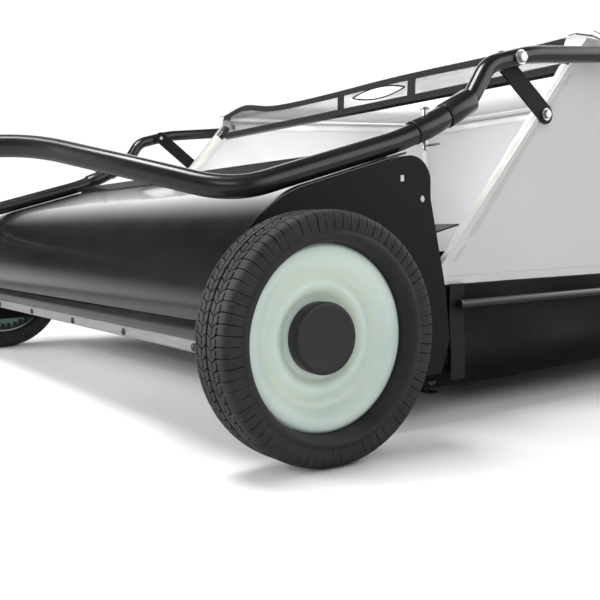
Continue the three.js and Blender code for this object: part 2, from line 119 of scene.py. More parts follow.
def flowing(knots, steps):
    """A smooth line through knots, with so many steps between each two."""
    knots = [Vector(k) for k in knots]
    line = []
    last = len(knots) - 1
    for i in range(last):
        a = knots[max(i - 1, 0)]
        b, c = knots[i], knots[i + 1]
        d = knots[min(i + 2, last)]
        for k in range(steps):
            t = k / steps
            line.append(
                0.5 * ((2 * b) + (c - a) * t + (2 * a - 5 * b + 4 * c - d) * t * t
                       + (3 * b - a - 3 * c + d) * t ** 3)
            )
    line.append(knots[-1])
    return line


def turned(profile, origin, axis, steps, closed=False, phase=0.0):
    """Spins (along, radius) pairs round an axis."""
    way = Vector(axis).normalized()
    side = Vector((0, 1, 0)) if abs(way.y) < 0.9 else Vector((0, 0, 1))
    side = (side - way * side.dot(way)).normalized()
    up = way.cross(side)
    points, faces = [], []
    for k in range(steps):
        turn = 2 * math.pi * (k + phase) / steps
        spoke = side * math.cos(turn) + up * math.sin(turn)
        points += [origin + way * (a * MM) + spoke * (r * MM) for a, r in profile]
    count = len(profile)
    spans = count if closed else count - 1
    for k in range(steps):
        near, far = k * count, (k + 1) % steps * count
        for i in range(spans):
            j = (i + 1) % count
            faces.append([near + i, near + j, far + j, far + i])
    return points, faces


def rounded(corners, ease, steps=10):
    """A path through corners, each one rounded off over ease millimetres."""
    corners = [Vector(c) for c in corners]
    path = [corners[0]]
    for before, corner, after in zip(corners, corners[1:], corners[2:]):
        back, ahead = before - corner, after - corner
        reach = min(ease * MM, back.length * 0.49, ahead.length * 0.49)
        start = corner + back.normalized() * reach
        end = corner + ahead.normalized() * reach
        for k in range(steps + 1):
            t = k / steps
            path.append(start * (1 - t) ** 2 + corner * (2 * t * (1 - t)) + end * t * t)
    path.append(corners[-1])
    return path


def rings_along(path, radius, sides):
    """Rings of points round a path. Radius is millimetres, or a function of share and angle."""
    rings, normal = [], None
    last = len(path) - 1
    for i, middle in enumerate(path):
        tangent = (path[min(i + 1, last)] - path[max(i - 1, 0)]).normalized()
        normal = tangent.orthogonal() if normal is None else normal
        normal = (normal - tangent * normal.dot(tangent)).normalized()
        other = tangent.cross(normal)
        ring = []
        for k in range(sides):
            turn = 2 * math.pi * k / sides
            r = radius(i / last, turn) if callable(radius) else radius
            spoke = normal * math.cos(turn) + other * math.sin(turn)
            ring.append(middle + spoke * (r * MM))
        rings.append(ring)
    return rings


def swept(path, radius, sides=24, bore=0.0):
    """A round bar along a path, or an open pipe where it has a bore."""
    rings = rings_along(path, radius, sides)
    if bore:
        rings += rings_along(path, bore, sides)[::-1]
    count = len(rings)
    points = [p for ring in rings for p in ring]
    faces = []
    for i in range(count if bore else count - 1):
        near, far = i * sides, (i + 1) % count * sides
        for k in range(sides):
            j = (k + 1) % sides
            faces.append([near + k, near + j, far + j, far + k])
    if not bore:
        faces += [list(range(sides)), list(range((count - 1) * sides, count * sides))]
    return points, faces


def offset_line(line, thick):
    """A (y, z) line moved sideways by a thickness, with mitred corners."""
    line = [Vector(p) for p in line]
    moved = []
    last = len(line) - 1
    for i, p in enumerate(line):
        back = (p - line[max(i - 1, 0)]) if i else (line[1] - p)
        ahead = (line[min(i + 1, last)] - p) if i < last else back
        a = Vector((-back.y, back.x)).normalized()
        b = Vector((-ahead.y, ahead.x)).normalized()
        mitre = (a + b).normalized()
        moved.append(p + mitre * (thick / max(mitre.dot(a), 0.5)))
    return moved


def bent_sheet(line, thick, x0, x1):
    """Sheet metal: a (y, z) line with a thickness, carried from x0 to x1."""
    outer = [Vector(p) for p in line]
    inner = offset_line(line, thick)
    loop = outer + inner[::-1]
    count, n = len(loop), len(outer)
    points = [at(x0, *p) for p in loop] + [at(x1, *p) for p in loop]
    faces = [[i, (i + 1) % count, (i + 1) % count + count, i + count] for i in range(count)]
    for first in (0, count):
        for i in range(n - 1):
            far = count - 1 - i
            faces.append([first + i, first + i + 1, first + far - 1, first + far])
    return points, faces


def block(low, high):
    """A box from millimetre corners."""
    xs, ys, zs = zip(low, high)
    points = [at(x, y, z) for x in xs for y in ys for z in zs]
    faces = [[0, 1, 3, 2], [4, 6, 7, 5], [0, 4, 5, 1], [2, 3, 7, 6], [0, 2, 6, 4], [1, 5, 7, 3]]
    return points, faces


def hex_bolt(origin, axis, across, head, washer_r=0.0, shank=0.0, shank_r=0.0):
    """A bolt head with chamfered corners, on a washer, with its shank behind it."""
    lift = 1.6 if washer_r else 0.0
    corner = across / math.sqrt(3)
    parts = [turned(
        [(lift, 0), (lift, corner), (lift + head * 0.8, corner), (lift + head, corner * 0.86),
         (lift + head, 0)], origin, axis, 6)]
    if washer_r:
        parts.append(turned(
            [(0, 0), (0, washer_r - 0.3), (0.3, washer_r), (lift - 0.3, washer_r),
             (lift, washer_r - 0.3), (lift, 0)], origin, axis, 28))
    if shank:
        parts.append(turned(
            [(-shank, 0), (-shank, shank_r - 0.6), (0.6 - shank, shank_r), (0, shank_r), (0, 0)],
            origin, axis, 16))
    return joined(parts)


def mesh_object(name, shape, merge=True):
    """An object of (points, faces), with doubles merged and normals turned outwards."""
    points, faces = shape
    mesh = bpy.data.meshes.new(name)
    mesh.from_pydata([tuple(p) for p in points], [], faces)
    work = bmesh.new()
    work.from_mesh(mesh)
    if merge:
        bmesh.ops.remove_doubles(work, verts=work.verts, dist=2e-6)
    bmesh.ops.recalc_face_normals(work, faces=work.faces)
    work.to_mesh(mesh)
    work.free()
    obj = bpy.data.objects.new(name, mesh)
    bpy.context.scene.collection.objects.link(obj)
    return obj


def settle(obj):
    """Makes an object's modifiers part of its mesh and takes them off."""
    bpy.context.view_layer.update()
    graph = bpy.context.evaluated_depsgraph_get()
    mesh = bpy.data.meshes.new_from_object(obj.evaluated_get(graph), depsgraph=graph)
    obj.modifiers.clear()
    obj.data = mesh
    return obj


def shaped_by(obj, kind, **settings):
    """Runs one modifier on an object."""
    modifier = obj.modifiers.new(kind.lower(), kind)
    for key, value in settings.items():
        setattr(modifier, key, value)
    return settle(obj)


def softened(obj, width, angle=35):
    """Small round edges, as a press or a file leaves them."""
    return shaped_by(obj, "BEVEL", width=width * MM, segments=2, limit_method="ANGLE",
                     angle_limit=math.radians(angle), use_clamp_overlap=True)


def place(obj, body, material, nodes=(), sharp=38):
    """Gives a finished piece its material and shading, and hangs it on its body."""
    mesh = obj.data
    mesh.materials.clear()
    mesh.materials.append(material)
    mesh.polygons.foreach_set("material_index", [0] * len(mesh.polygons))
    mesh.shade_smooth()
    mesh.set_sharp_from_angle(angle=math.radians(sharp))
    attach(obj, body)
    if nodes:
        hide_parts(*nodes)
    return obj


# ---------------------------------------------------------------- node trees


def node(tree, kind, inputs=None, **settings):
    """Adds a node. An input is a value, or a socket to join to it."""
    made = tree.nodes.new(kind)
    for key, value in settings.items():
        setattr(made, key, value)
    for key, value in (inputs or {}).items():
        if isinstance(value, bpy.types.NodeSocket):
            tree.links.new(value, made.inputs[key])
        else:
            made.inputs[key].default_value = value
    return made


def maths(tree, operation, *values, clamp=False):
    """A Math node's result."""
    return node(tree, "ShaderNodeMath", dict(enumerate(values)), operation=operation,
                use_clamp=clamp).outputs[0]


def spread(tree, value, low, high, to_low=0.0, to_high=1.0):
    """A value moved from one range to another, held at its ends."""
    return node(tree, "ShaderNodeMapRange",
                {0: value, 1: low, 2: high, 3: to_low, 4: to_high}).outputs[0]


def mixed(tree, share, a, b):
    """Two colours mixed by a share."""
    made = node(tree, "ShaderNodeMix", {0: share}, data_type="RGBA")
    for index, value in ((6, a), (7, b)):
        if isinstance(value, bpy.types.NodeSocket):
            tree.links.new(value, made.inputs[index])
        else:
            made.inputs[index].default_value = (*value, 1)
    return made.outputs[2]


def group(name, kind, inputs, outputs):
    """A node group with named sockets: its tree, its inputs and its output node."""
    tree = bpy.data.node_groups.new(name, kind)
    for label, form, value in inputs:
        socket = tree.interface.new_socket(label, in_out="INPUT", socket_type=form)
        if value is not None:
            socket.default_value = value
    for label, form in outputs:
        tree.interface.new_socket(label, in_out="OUTPUT", socket_type=form)
    entry = tree.nodes.new("NodeGroupInput")
    return tree, entry.outputs, tree.nodes.new("NodeGroupOutput")


NUMBER, VECTOR = "NodeSocketFloat", "NodeSocketVector"

# Grain: a fine bumpy surface, with slower changes of tone under it.
grain, g_in, g_out = group(
    "grain", "ShaderNodeTree",
    [("Scale", NUMBER, 400.0), ("Slow Scale", NUMBER, 8.0), ("Stretch", VECTOR, (1, 1, 1))],
    [("Height", NUMBER), ("Tone", NUMBER)])
g_place = node(grain, "ShaderNodeVectorMath",
               {0: node(grain, "ShaderNodeTexCoord").outputs["Object"], 1: g_in["Stretch"]},
               operation="MULTIPLY").outputs[0]
g_fine = node(grain, "ShaderNodeTexNoise",
              {"Vector": g_place, "Scale": g_in["Scale"], "Detail": 3.0, "Roughness": 0.55})
g_slow = node(grain, "ShaderNodeTexNoise",
              {"Vector": g_place, "Scale": g_in["Slow Scale"], "Detail": 2.0})
grain.links.new(g_fine.outputs[0], g_out.inputs["Height"])
grain.links.new(g_slow.outputs[0], g_out.inputs["Tone"])

# Edge mask along outside edges, broken up by noise: worn edges on the paint, and on the tyre
# partly rubbing and partly a painted highlight.
edge_wear_and_highlight, w_in, w_out = group(
    "edge wear", "ShaderNodeTree", [("Width", NUMBER, 0.0012), ("Break Up", NUMBER, 120.0)],
    [("Mask", NUMBER)])
w_soft = node(edge_wear_and_highlight, "ShaderNodeBevel", {"Radius": w_in["Width"]}, samples=4).outputs[0]
w_flat = node(edge_wear_and_highlight, "ShaderNodeNewGeometry").outputs["Normal"]
w_turn = node(edge_wear_and_highlight, "ShaderNodeVectorMath", {0: w_soft, 1: w_flat}, operation="DOT_PRODUCT")
w_edge = spread(edge_wear_and_highlight, w_turn.outputs["Value"], 0.995, 0.86)
w_noise = node(edge_wear_and_highlight, "ShaderNodeTexNoise",
               {"Vector": node(edge_wear_and_highlight, "ShaderNodeTexCoord").outputs["Object"],
                "Scale": w_in["Break Up"], "Detail": 4.0}).outputs[0]
edge_wear_and_highlight.links.new(maths(edge_wear_and_highlight, "MULTIPLY", w_edge, spread(edge_wear_and_highlight, w_noise, 0.42, 0.66)),
               w_out.inputs["Mask"])

# Dust: what settles on faces that look up.
dust, d_in, d_out = group(
    "dust", "ShaderNodeTree", [("Amount", NUMBER, 0.1), ("Patch Scale", NUMBER, 14.0)],
    [("Mask", NUMBER)])
d_up = node(dust, "ShaderNodeSeparateXYZ",
            {0: node(dust, "ShaderNodeNewGeometry").outputs["Normal"]}).outputs[2]
d_noise = node(dust, "ShaderNodeTexNoise",
               {"Vector": node(dust, "ShaderNodeTexCoord").outputs["Object"],
                "Scale": d_in["Patch Scale"], "Detail": 5.0}).outputs[0]
d_mask = maths(dust, "MULTIPLY", spread(dust, d_up, 0.2, 1.0), spread(dust, d_noise, 0.35, 0.75))
dust.links.new(maths(dust, "MULTIPLY", d_mask, d_in["Amount"]), d_out.inputs["Mask"])

# Weave: over and under threads on the cloth's own UV map, in metres.
weave, v_in, v_out = group(
    "weave", "ShaderNodeTree", [("Pitch", NUMBER, 0.0016), ("Hole", NUMBER, 0.0)],
    [("Height", NUMBER), ("Cover", NUMBER)])
v_uv = node(weave, "ShaderNodeSeparateXYZ",
            {0: node(weave, "ShaderNodeUVMap", uv_map="cloth").outputs[0]})
v_rate = maths(weave, "DIVIDE", 2 * math.pi, v_in["Pitch"])
v_along = maths(weave, "SINE", maths(weave, "MULTIPLY", v_uv.outputs[0], v_rate))
v_across = maths(weave, "SINE", maths(weave, "MULTIPLY", v_uv.outputs[1], v_rate))
v_cross = maths(weave, "MULTIPLY", v_along, v_across)
weave.links.new(spread(weave, v_cross, -1.0, 1.0), v_out.inputs["Height"])
v_open = maths(weave, "LESS_THAN", maths(weave, "ABSOLUTE", v_cross), v_in["Hole"])
weave.links.new(maths(weave, "SUBTRACT", 1.0, v_open), v_out.inputs["Cover"])


def use(tree, made, **inputs):
    """Places a node group in a material with its own values."""
    placed = node(tree, "ShaderNodeGroup", node_tree=made)
    for key, value in inputs.items():
        placed.inputs[key.replace("_", " ")].default_value = value
    return placed.outputs


def new_material(name, **sockets):
    """A material with a Principled shader whose sockets hold these values."""
    material = bpy.data.materials.new(name)
    material.use_nodes = True
    tree = material.node_tree
    shader = tree.nodes["Principled BSDF"]
    for key, value in sockets.items():
        shader.inputs[key.replace("_", " ")].default_value = value
    return material, tree, shader


def bump_into(tree, shader, height, strength, depth):
    """Sends a height to the shader's normal."""
    made = node(tree, "ShaderNodeBump", {"Strength": strength, "Distance": depth * MM,
                                         "Height": height})
    tree.links.new(made.outputs[0], shader.inputs["Normal"])


def painted(name, colour, rough, coat, peel, peel_scale=220.0, worn=0.25, dusty=0.03,
            shine=0.5):
    """Black paint on steel: orange peel, patchy gloss, thin worn edges and a little dust."""
    material, tree, shader = new_material(name, Coat_Weight=coat, Coat_Roughness=0.06,
                                          Specular_IOR_Level=shine)
    surface = use(tree, grain, Scale=peel_scale, Slow_Scale=5.0)
    mask = use(tree, edge_wear_and_highlight, Width=0.0011, Break_Up=160.0)["Mask"]
    mask = maths(tree, "MULTIPLY", mask, worn)
    settled = use(tree, dust, Amount=dusty)["Mask"]
    base = mixed(tree, spread(tree, surface["Tone"], 0.3, 0.7), colour,
                 [c * 1.35 for c in colour])
    base = mixed(tree, mask, base, (0.17, 0.17, 0.175))
    base = mixed(tree, settled, base, (0.42, 0.41, 0.39))
    tree.links.new(base, shader.inputs["Base Color"])
    gloss = spread(tree, surface["Tone"], 0.3, 0.7, rough * 0.88, rough * 1.12)
    gloss = maths(tree, "ADD", gloss, maths(tree, "MULTIPLY", settled, 0.5), clamp=True)
    tree.links.new(gloss, shader.inputs["Roughness"])
    bump_into(tree, shader, surface["Height"], 0.35, peel)
    return material


gloss_black = painted("gloss black hood paint", (0.0085, 0.0082, 0.0085), 0.2, 0.3, 0.012, 90.0)
satin_black = painted("satin black plate paint", (0.006, 0.006, 0.0062), 0.5, 0.0, 0.08, 420.0,
                      shine=0.16)
tube_black = painted("half gloss tube paint", (0.011, 0.011, 0.012), 0.26, 0.2, 0.05, 300.0)


def zinc_plate():
    """Bright zinc on steel: spangled tone and fine scratches."""
    material, tree, shader = new_material("zinc plated steel", Metallic=1.0)
    surface = use(tree, grain, Scale=900.0, Slow_Scale=60.0)
    base = mixed(tree, spread(tree, surface["Tone"], 0.35, 0.65), (0.52, 0.53, 0.53),
                 (0.72, 0.72, 0.7))
    tree.links.new(base, shader.inputs["Base Color"])
    tree.links.new(spread(tree, surface["Height"], 0.3, 0.7, 0.24, 0.42),
                   shader.inputs["Roughness"])
    bump_into(tree, shader, surface["Height"], 0.25, 0.04)
    return material


def brushed_strip():
    """Galvanised strip, brushed along its length."""
    material, tree, shader = new_material("brushed galvanised strip", Metallic=1.0)
    surface = use(tree, grain, Scale=900.0, Slow_Scale=30.0, Stretch=(0.03, 1, 1))
    base = mixed(tree, spread(tree, surface["Height"], 0.3, 0.7), (0.33, 0.33, 0.33),
                 (0.5, 0.5, 0.49))
    tree.links.new(base, shader.inputs["Base Color"])
    tree.links.new(spread(tree, surface["Height"], 0.3, 0.7, 0.3, 0.5),
                   shader.inputs["Roughness"])
    bump_into(tree, shader, surface["Height"], 0.4, 0.04)
    return material


def tyre_rubber():
    """Matt black rubber with a fine moulded grain, and paler edges that are partly rubbing and
    partly a painted highlight on the tread blocks.
    """
    material, tree, shader = new_material("tyre rubber", Specular_IOR_Level=0.34)
    surface = use(tree, grain, Scale=650.0, Slow_Scale=22.0)
    rubbed_and_highlit = use(tree, edge_wear_and_highlight, Width=0.0009, Break_Up=90.0)["Mask"]
    settled = use(tree, dust, Amount=0.12, Patch_Scale=30.0)["Mask"]
    base = mixed(tree, spread(tree, surface["Tone"], 0.3, 0.7), (0.017, 0.017, 0.018),
                 (0.026, 0.026, 0.027))
    # Paler edges: partly rubbed rubber, partly a painted highlight along the tread blocks.
    base = mixed(tree, maths(tree, "MULTIPLY", rubbed_and_highlit, 0.8), base, (0.17, 0.17, 0.175))
    base = mixed(tree, settled, base, (0.25, 0.24, 0.22))
    tree.links.new(base, shader.inputs["Base Color"])
    tree.links.new(spread(tree, surface["Height"], 0.3, 0.7, 0.56, 0.74),
                   shader.inputs["Roughness"])
    bump_into(tree, shader, surface["Height"], 0.5, 0.12)
    return material


def mint_nylon():
    """Pale mint moulded nylon: a little light goes in, and a painted warm tint in the grooves
    stands for that light.
    """
    material, tree, shader = new_material(
        "mint nylon", Subsurface_Weight=0.25, Subsurface_Scale=0.01, Specular_IOR_Level=0.5)
    shader.inputs["Subsurface Radius"].default_value = (0.8, 1.0, 0.85)
    surface = use(tree, grain, Scale=500.0, Slow_Scale=16.0)
    centre = at(0, 0, AXLE_Z)
    spot = node(tree, "ShaderNodeVectorMath",
                {0: node(tree, "ShaderNodeTexCoord").outputs["Object"], 1: tuple(centre)},
                operation="SUBTRACT").outputs[0]
    flat = node(tree, "ShaderNodeVectorMath", {0: spot, 1: (0.0, 1.0, 1.0)},
                operation="MULTIPLY").outputs[0]
    radius = node(tree, "ShaderNodeVectorMath", {0: flat}, operation="LENGTH").outputs["Value"]
    # Painted warm tint in the groove and the inner ring, for the light passing into the nylon
    # there.
    groove = maths(tree, "MULTIPLY", spread(tree, radius, 0.0575, 0.065),
                   spread(tree, radius, 0.0735, 0.067))
    inner = maths(tree, "MULTIPLY", spread(tree, radius, 0.0395, 0.044),
                  spread(tree, radius, 0.0535, 0.047))
    groove_light_tint = maths(tree, "MAXIMUM", groove, inner)
    groove_light_tint = maths(tree, "MULTIPLY", groove_light_tint, spread(tree, surface["Tone"], 0.25, 0.75, 0.35, 1.0))
    base = mixed(tree, spread(tree, surface["Tone"], 0.3, 0.7), (0.60, 0.735, 0.665),
                 (0.69, 0.80, 0.735))
    base = mixed(tree, maths(tree, "MULTIPLY", groove_light_tint, 0.75), base, (0.66, 0.72, 0.56))
    tree.links.new(base, shader.inputs["Base Color"])
    tree.links.new(spread(tree, surface["Tone"], 0.3, 0.7, 0.34, 0.44),
                   shader.inputs["Roughness"])
    bump_into(tree, shader, surface["Height"], 0.25, 0.05)
    return material


def black_plastic(name, colour, rough):
    """Moulded black plastic with a fine texture."""
    material, tree, shader = new_material(name)
    surface = use(tree, grain, Scale=700.0, Slow_Scale=12.0)
    base = mixed(tree, spread(tree, surface["Tone"], 0.3, 0.7), colour,
                 [c * 1.3 for c in colour])
    tree.links.new(base, shader.inputs["Base Color"])
    tree.links.new(spread(tree, surface["Height"], 0.3, 0.7, rough * 0.85, rough * 1.15),
                   shader.inputs["Roughness"])
    bump_into(tree, shader, surface["Height"], 0.35, 0.06)
    return material


def woven(name, light, gap_shade_and_mottle, pitch, rough, slow=9.0, hole=0.0, sheen=0.0, depth=0.12):
    """Cloth with its weave on the piece's UV map, the sunken parts of the weave painted darker as
    shade between the threads.
    """
    material, tree, shader = new_material(name, Sheen_Weight=sheen, Sheen_Roughness=0.5,
                                          Specular_IOR_Level=0.25, Roughness=rough)
    threads = use(tree, weave, Pitch=pitch, Hole=hole)
    surface = use(tree, grain, Scale=900.0, Slow_Scale=slow)
    # Painted shade: where the weave dips, the cloth takes the darker colour.
    base = mixed(tree, threads["Height"], gap_shade_and_mottle, light)
    base = mixed(tree, spread(tree, surface["Tone"], 0.3, 0.7, 0.0, 0.25), base, gap_shade_and_mottle)
    tree.links.new(base, shader.inputs["Base Color"])
    height = maths(tree, "ADD", threads["Height"], maths(tree, "MULTIPLY",
                                                         surface["Height"], 0.3))
    bump_into(tree, shader, height, 0.6, depth)
    if hole:
        tree.links.new(threads["Cover"], shader.inputs["Alpha"])
    return material


def vinyl_sheet():
    """Black coated cloth with a leather grain and soft creases."""
    material, tree, shader = new_material("black vinyl", Specular_IOR_Level=0.14)
    spot = node(tree, "ShaderNodeTexCoord").outputs["Object"]
    cells = node(tree, "ShaderNodeTexVoronoi", {"Vector": spot, "Scale": 420.0},
                 feature="SMOOTH_F1").outputs[0]
    surface = use(tree, grain, Scale=60.0, Slow_Scale=7.0)
    base = mixed(tree, spread(tree, surface["Tone"], 0.3, 0.7), (0.002, 0.002, 0.0022),
                 (0.0042, 0.0042, 0.0044))
    tree.links.new(base, shader.inputs["Base Color"])
    tree.links.new(spread(tree, surface["Height"], 0.3, 0.7, 0.36, 0.5),
                   shader.inputs["Roughness"])
    height = maths(tree, "ADD", maths(tree, "MULTIPLY", cells, 0.35), surface["Height"])
    bump_into(tree, shader, height, 0.45, 0.5)
    return material


def bristle_fibre():
    """Polypropylene filament, with a change of tone from one to the next."""
    material, tree, shader = new_material("brush filament", Roughness=0.42)
    surface = use(tree, grain, Scale=260.0, Slow_Scale=18.0)
    base = mixed(tree, spread(tree, surface["Height"], 0.3, 0.7), (0.012, 0.012, 0.013),
                 (0.05, 0.05, 0.052))
    tree.links.new(base, shader.inputs["Base Color"])
    return material


zinc = zinc_plate()
strip_metal = brushed_strip()
rubber = tyre_rubber()
nylon = mint_nylon()
cap_plastic = black_plastic("hub cap plastic", (0.0105, 0.0095, 0.0105), 0.4)
plain_plastic = black_plastic("black plastic", (0.02, 0.02, 0.021), 0.5)
filament = bristle_fibre()
light_cloth = woven("pale polyester", (0.78, 0.78, 0.79), (0.6, 0.6, 0.61), 0.0014, 0.85,
                    sheen=0.15)
sleeve_cloth = woven("pale sleeve cloth", (0.72, 0.71, 0.68), (0.5, 0.49, 0.46), 0.0014, 0.85,
                     sheen=0.15)
net_cloth = woven("black net", (0.035, 0.035, 0.036), (0.012, 0.012, 0.012), 0.0024, 0.7,
                  hole=0.5, depth=0.3)
rod_sock = black_plastic("pale rod sock", (0.66, 0.66, 0.65), 0.8)
tape_cloth = woven("black tape", (0.016, 0.016, 0.0165), (0.006, 0.006, 0.006), 0.0013, 0.65,
                   sheen=0.04)
vinyl = vinyl_sheet()
thread_black = black_plastic("black thread", (0.03, 0.03, 0.031), 0.7)
thread_pale = black_plastic("pale thread", (0.6, 0.6, 0.6), 0.7)


# ---------------------------------------------------------------- geometry node trees

GEOMETRY, WHOLE, STUFF = "NodeSocketGeometry", "NodeSocketInt", "NodeSocketMaterial"


def run_nodes(obj, tree, **values):
    """Runs a geometry tree on an object once, and keeps its result as a plain mesh."""
    modifier = obj.modifiers.new(tree.name, "NODES")
    modifier.node_group = tree
    for item in tree.interface.items_tree:
        key = item.name.replace(" ", "_")
        if item.in_out == "INPUT" and key in values:
            modifier[item.identifier] = values[key]
    return settle(obj)


# Ring of pitches: one slice of a wheel, repeated round the X axis.
ring, r_in, r_out = group(
    "ring of pitches", "GeometryNodeTree",
    [("Slice", GEOMETRY, None), ("Count", WHOLE, PITCHES), ("Centre", VECTOR, (0, 0, 0)),
     ("Weld", NUMBER, 0.00002), ("Finish", STUFF, None)], [("Mesh", GEOMETRY)])
r_points = node(ring, "GeometryNodePoints", {"Count": r_in["Count"],
                                             "Position": r_in["Centre"]}).outputs[0]
r_step = maths(ring, "DIVIDE", 2 * math.pi, r_in["Count"])
r_turn = node(ring, "ShaderNodeCombineXYZ", {0: maths(
    ring, "MULTIPLY", node(ring, "GeometryNodeInputIndex").outputs[0], r_step)}).outputs[0]
r_copies = node(ring, "GeometryNodeInstanceOnPoints",
                {"Points": r_points, "Instance": r_in["Slice"], "Rotation": r_turn}).outputs[0]
r_mesh = node(ring, "GeometryNodeRealizeInstances", {0: r_copies}).outputs[0]
r_mesh = node(ring, "GeometryNodeMergeByDistance", {"Geometry": r_mesh,
                                                    "Distance": r_in["Weld"]}).outputs[0]
r_mesh = node(ring, "GeometryNodeSetMaterial", {"Geometry": r_mesh,
                                                "Material": r_in["Finish"]}).outputs[0]
ring.links.new(r_mesh, r_out.inputs[0])

# Brush row: tapered filaments that stand along a line, each one leaning its own way.
tuft, t_in, t_out = group(
    "brush row", "GeometryNodeTree",
    [("Mesh", GEOMETRY, None), ("Count", WHOLE, 2400), ("Start", VECTOR, (0, 0, 0)),
     ("End", VECTOR, (1, 0, 0)), ("Length", NUMBER, 0.065), ("Thickness", NUMBER, 0.0008),
     ("Tilt", NUMBER, 0.0), ("Lean", NUMBER, 0.06), ("Width", NUMBER, 0.006),
     ("Seed", WHOLE, 1), ("Finish", STUFF, None)], [("Mesh", GEOMETRY)])
t_line = node(tuft, "GeometryNodeMeshLine",
              {"Count": t_in["Count"], "Start Location": t_in["Start"],
               "Offset": t_in["End"]}, mode="END_POINTS").outputs[0]
t_hair = node(tuft, "GeometryNodeMeshCone",
              {"Vertices": 4, "Side Segments": 1, "Radius Bottom": t_in["Thickness"],
               "Radius Top": maths(tuft, "MULTIPLY", t_in["Thickness"], 0.7),
               "Depth": t_in["Length"]}).outputs["Mesh"]
t_jitter = node(tuft, "FunctionNodeRandomValue", {0: (-1, -1, -0.2), 1: (1, 1, 0.2),
                                                  "Seed": t_in["Seed"]},
                data_type="FLOAT_VECTOR").outputs[0]
t_side = node(tuft, "ShaderNodeVectorMath",
              {0: t_jitter, 1: node(tuft, "ShaderNodeCombineXYZ", {
                  0: 0.0006, 1: maths(tuft, "MULTIPLY", t_in["Width"], maths(
                      tuft, "COSINE", t_in["Tilt"])),
                  2: maths(tuft, "MULTIPLY", t_in["Width"], maths(
                      tuft, "SINE", t_in["Tilt"]))}).outputs[0]},
              operation="MULTIPLY").outputs[0]
t_seed_two = maths(tuft, "ADD", t_in["Seed"], 7.0)
t_swing = node(tuft, "FunctionNodeRandomValue", {0: (-1, -1, 0), 1: (1, 1, 6.28),
                                                 "Seed": t_seed_two},
               data_type="FLOAT_VECTOR").outputs[0]
t_swing = node(tuft, "ShaderNodeSeparateXYZ", {0: t_swing}).outputs
t_turn = node(tuft, "ShaderNodeCombineXYZ", {
    0: maths(tuft, "ADD", t_in["Tilt"], maths(tuft, "MULTIPLY", t_swing[0], t_in["Lean"])),
    1: maths(tuft, "MULTIPLY", t_swing[1], t_in["Lean"]), 2: 0.0}).outputs[0]
t_size = node(tuft, "FunctionNodeRandomValue", {2: 0.93, 3: 1.0, "Seed": t_in["Seed"]},
              data_type="FLOAT").outputs[1]
t_moved = node(tuft, "GeometryNodeSetPosition", {"Geometry": t_line, "Offset": t_side})
t_copies = node(tuft, "GeometryNodeInstanceOnPoints",
                {"Points": t_moved.outputs[0], "Instance": t_hair, "Rotation": t_turn,
                 "Scale": node(tuft, "ShaderNodeCombineXYZ",
                               {0: 1.0, 1: 1.0, 2: t_size}).outputs[0]}).outputs[0]
t_mesh = node(tuft, "GeometryNodeRealizeInstances", {0: t_copies}).outputs[0]
t_mesh = node(tuft, "GeometryNodeSetMaterial", {"Geometry": t_mesh,
                                                "Material": t_in["Finish"]}).outputs[0]
tuft.links.new(t_mesh, t_out.inputs[0])

# Stitches: short threads laid end to end along the edges of a path.
stitch, s_in, s_out = group(
    "stitches", "GeometryNodeTree",
    [("Path", GEOMETRY, None), ("Spacing", NUMBER, 0.005), ("Length", NUMBER, 0.0034),
     ("Thickness", NUMBER, 0.0004), ("Finish", STUFF, None)], [("Mesh", GEOMETRY)])
s_curve = node(stitch, "GeometryNodeMeshToCurve", {"Mesh": s_in["Path"]}).outputs[0]
s_points = node(stitch, "GeometryNodeCurveToPoints", {"Curve": s_curve,
                                                      "Length": s_in["Spacing"]}, mode="LENGTH")
s_thread = node(stitch, "GeometryNodeMeshCylinder",
                {"Vertices": 5, "Side Segments": 1, "Radius": s_in["Thickness"],
                 "Depth": s_in["Length"]}).outputs["Mesh"]
s_turn = node(stitch, "FunctionNodeAlignRotationToVector",
              {"Vector": s_points.outputs["Tangent"]}, axis="Z").outputs[0]
s_copies = node(stitch, "GeometryNodeInstanceOnPoints",
                {"Points": s_points.outputs["Points"], "Instance": s_thread,
                 "Rotation": s_turn}).outputs[0]
s_mesh = node(stitch, "GeometryNodeRealizeInstances", {0: s_copies}).outputs[0]
s_mesh = node(stitch, "GeometryNodeSetMaterial", {"Geometry": s_mesh,
                                                  "Material": s_in["Finish"]}).outputs[0]
stitch.links.new(s_mesh, s_out.inputs[0])


def stitched(name, lines, body, thread):
    """Rows of stitches along lines of points."""
    points, edges = [], []
    for line in lines:
        edges += [(len(points) + i, len(points) + i + 1) for i in range(len(line) - 1)]
        points += [tuple(p) for p in line]
    mesh = bpy.data.meshes.new(name)
    mesh.from_pydata(points, edges, [])
    obj = bpy.data.objects.new(name, mesh)
    bpy.context.scene.collection.objects.link(obj)
    run_nodes(obj, stitch, Finish=thread)
    return place(obj, body, thread)


# ---------------------------------------------------------------- wheels

# Cross section of the tyre from the bead over the outer wall to the middle of the tread:
# place, radius, all-round groove depth, cross groove depth.
WALL = [
    (588.0, 94.5, 0, 0), (598.0, 94.5, 0, 0), (602.5, 94.7, 0, 0), (607.0, 95.3, 0, 0),
    (611.5, 96.1, 0, 0), (615.4, 97.0, 0, 0), (617.6, 98.0, 0, 0), (619.1, 99.4, 0, 0),
    (619.8, 101.0, 0, 0), (620.0, 102.8, 0, 0), (619.8, 104.6, 0, 0), (619.2, 105.6, 0, 0),
    (618.6, 106.2, 0, 0), (618.6, 107.0, 0, 1.2), (618.9, 110.0, 0, 1.6),
    (619.0, 114.0, 0, 1.6), (618.9, 118.0, 0, 1.7), (618.3, 120.6, 0, 1.9),
    (617.2, 122.8, 0, 2.2), (615.4, 124.7, 0, 2.6),
]
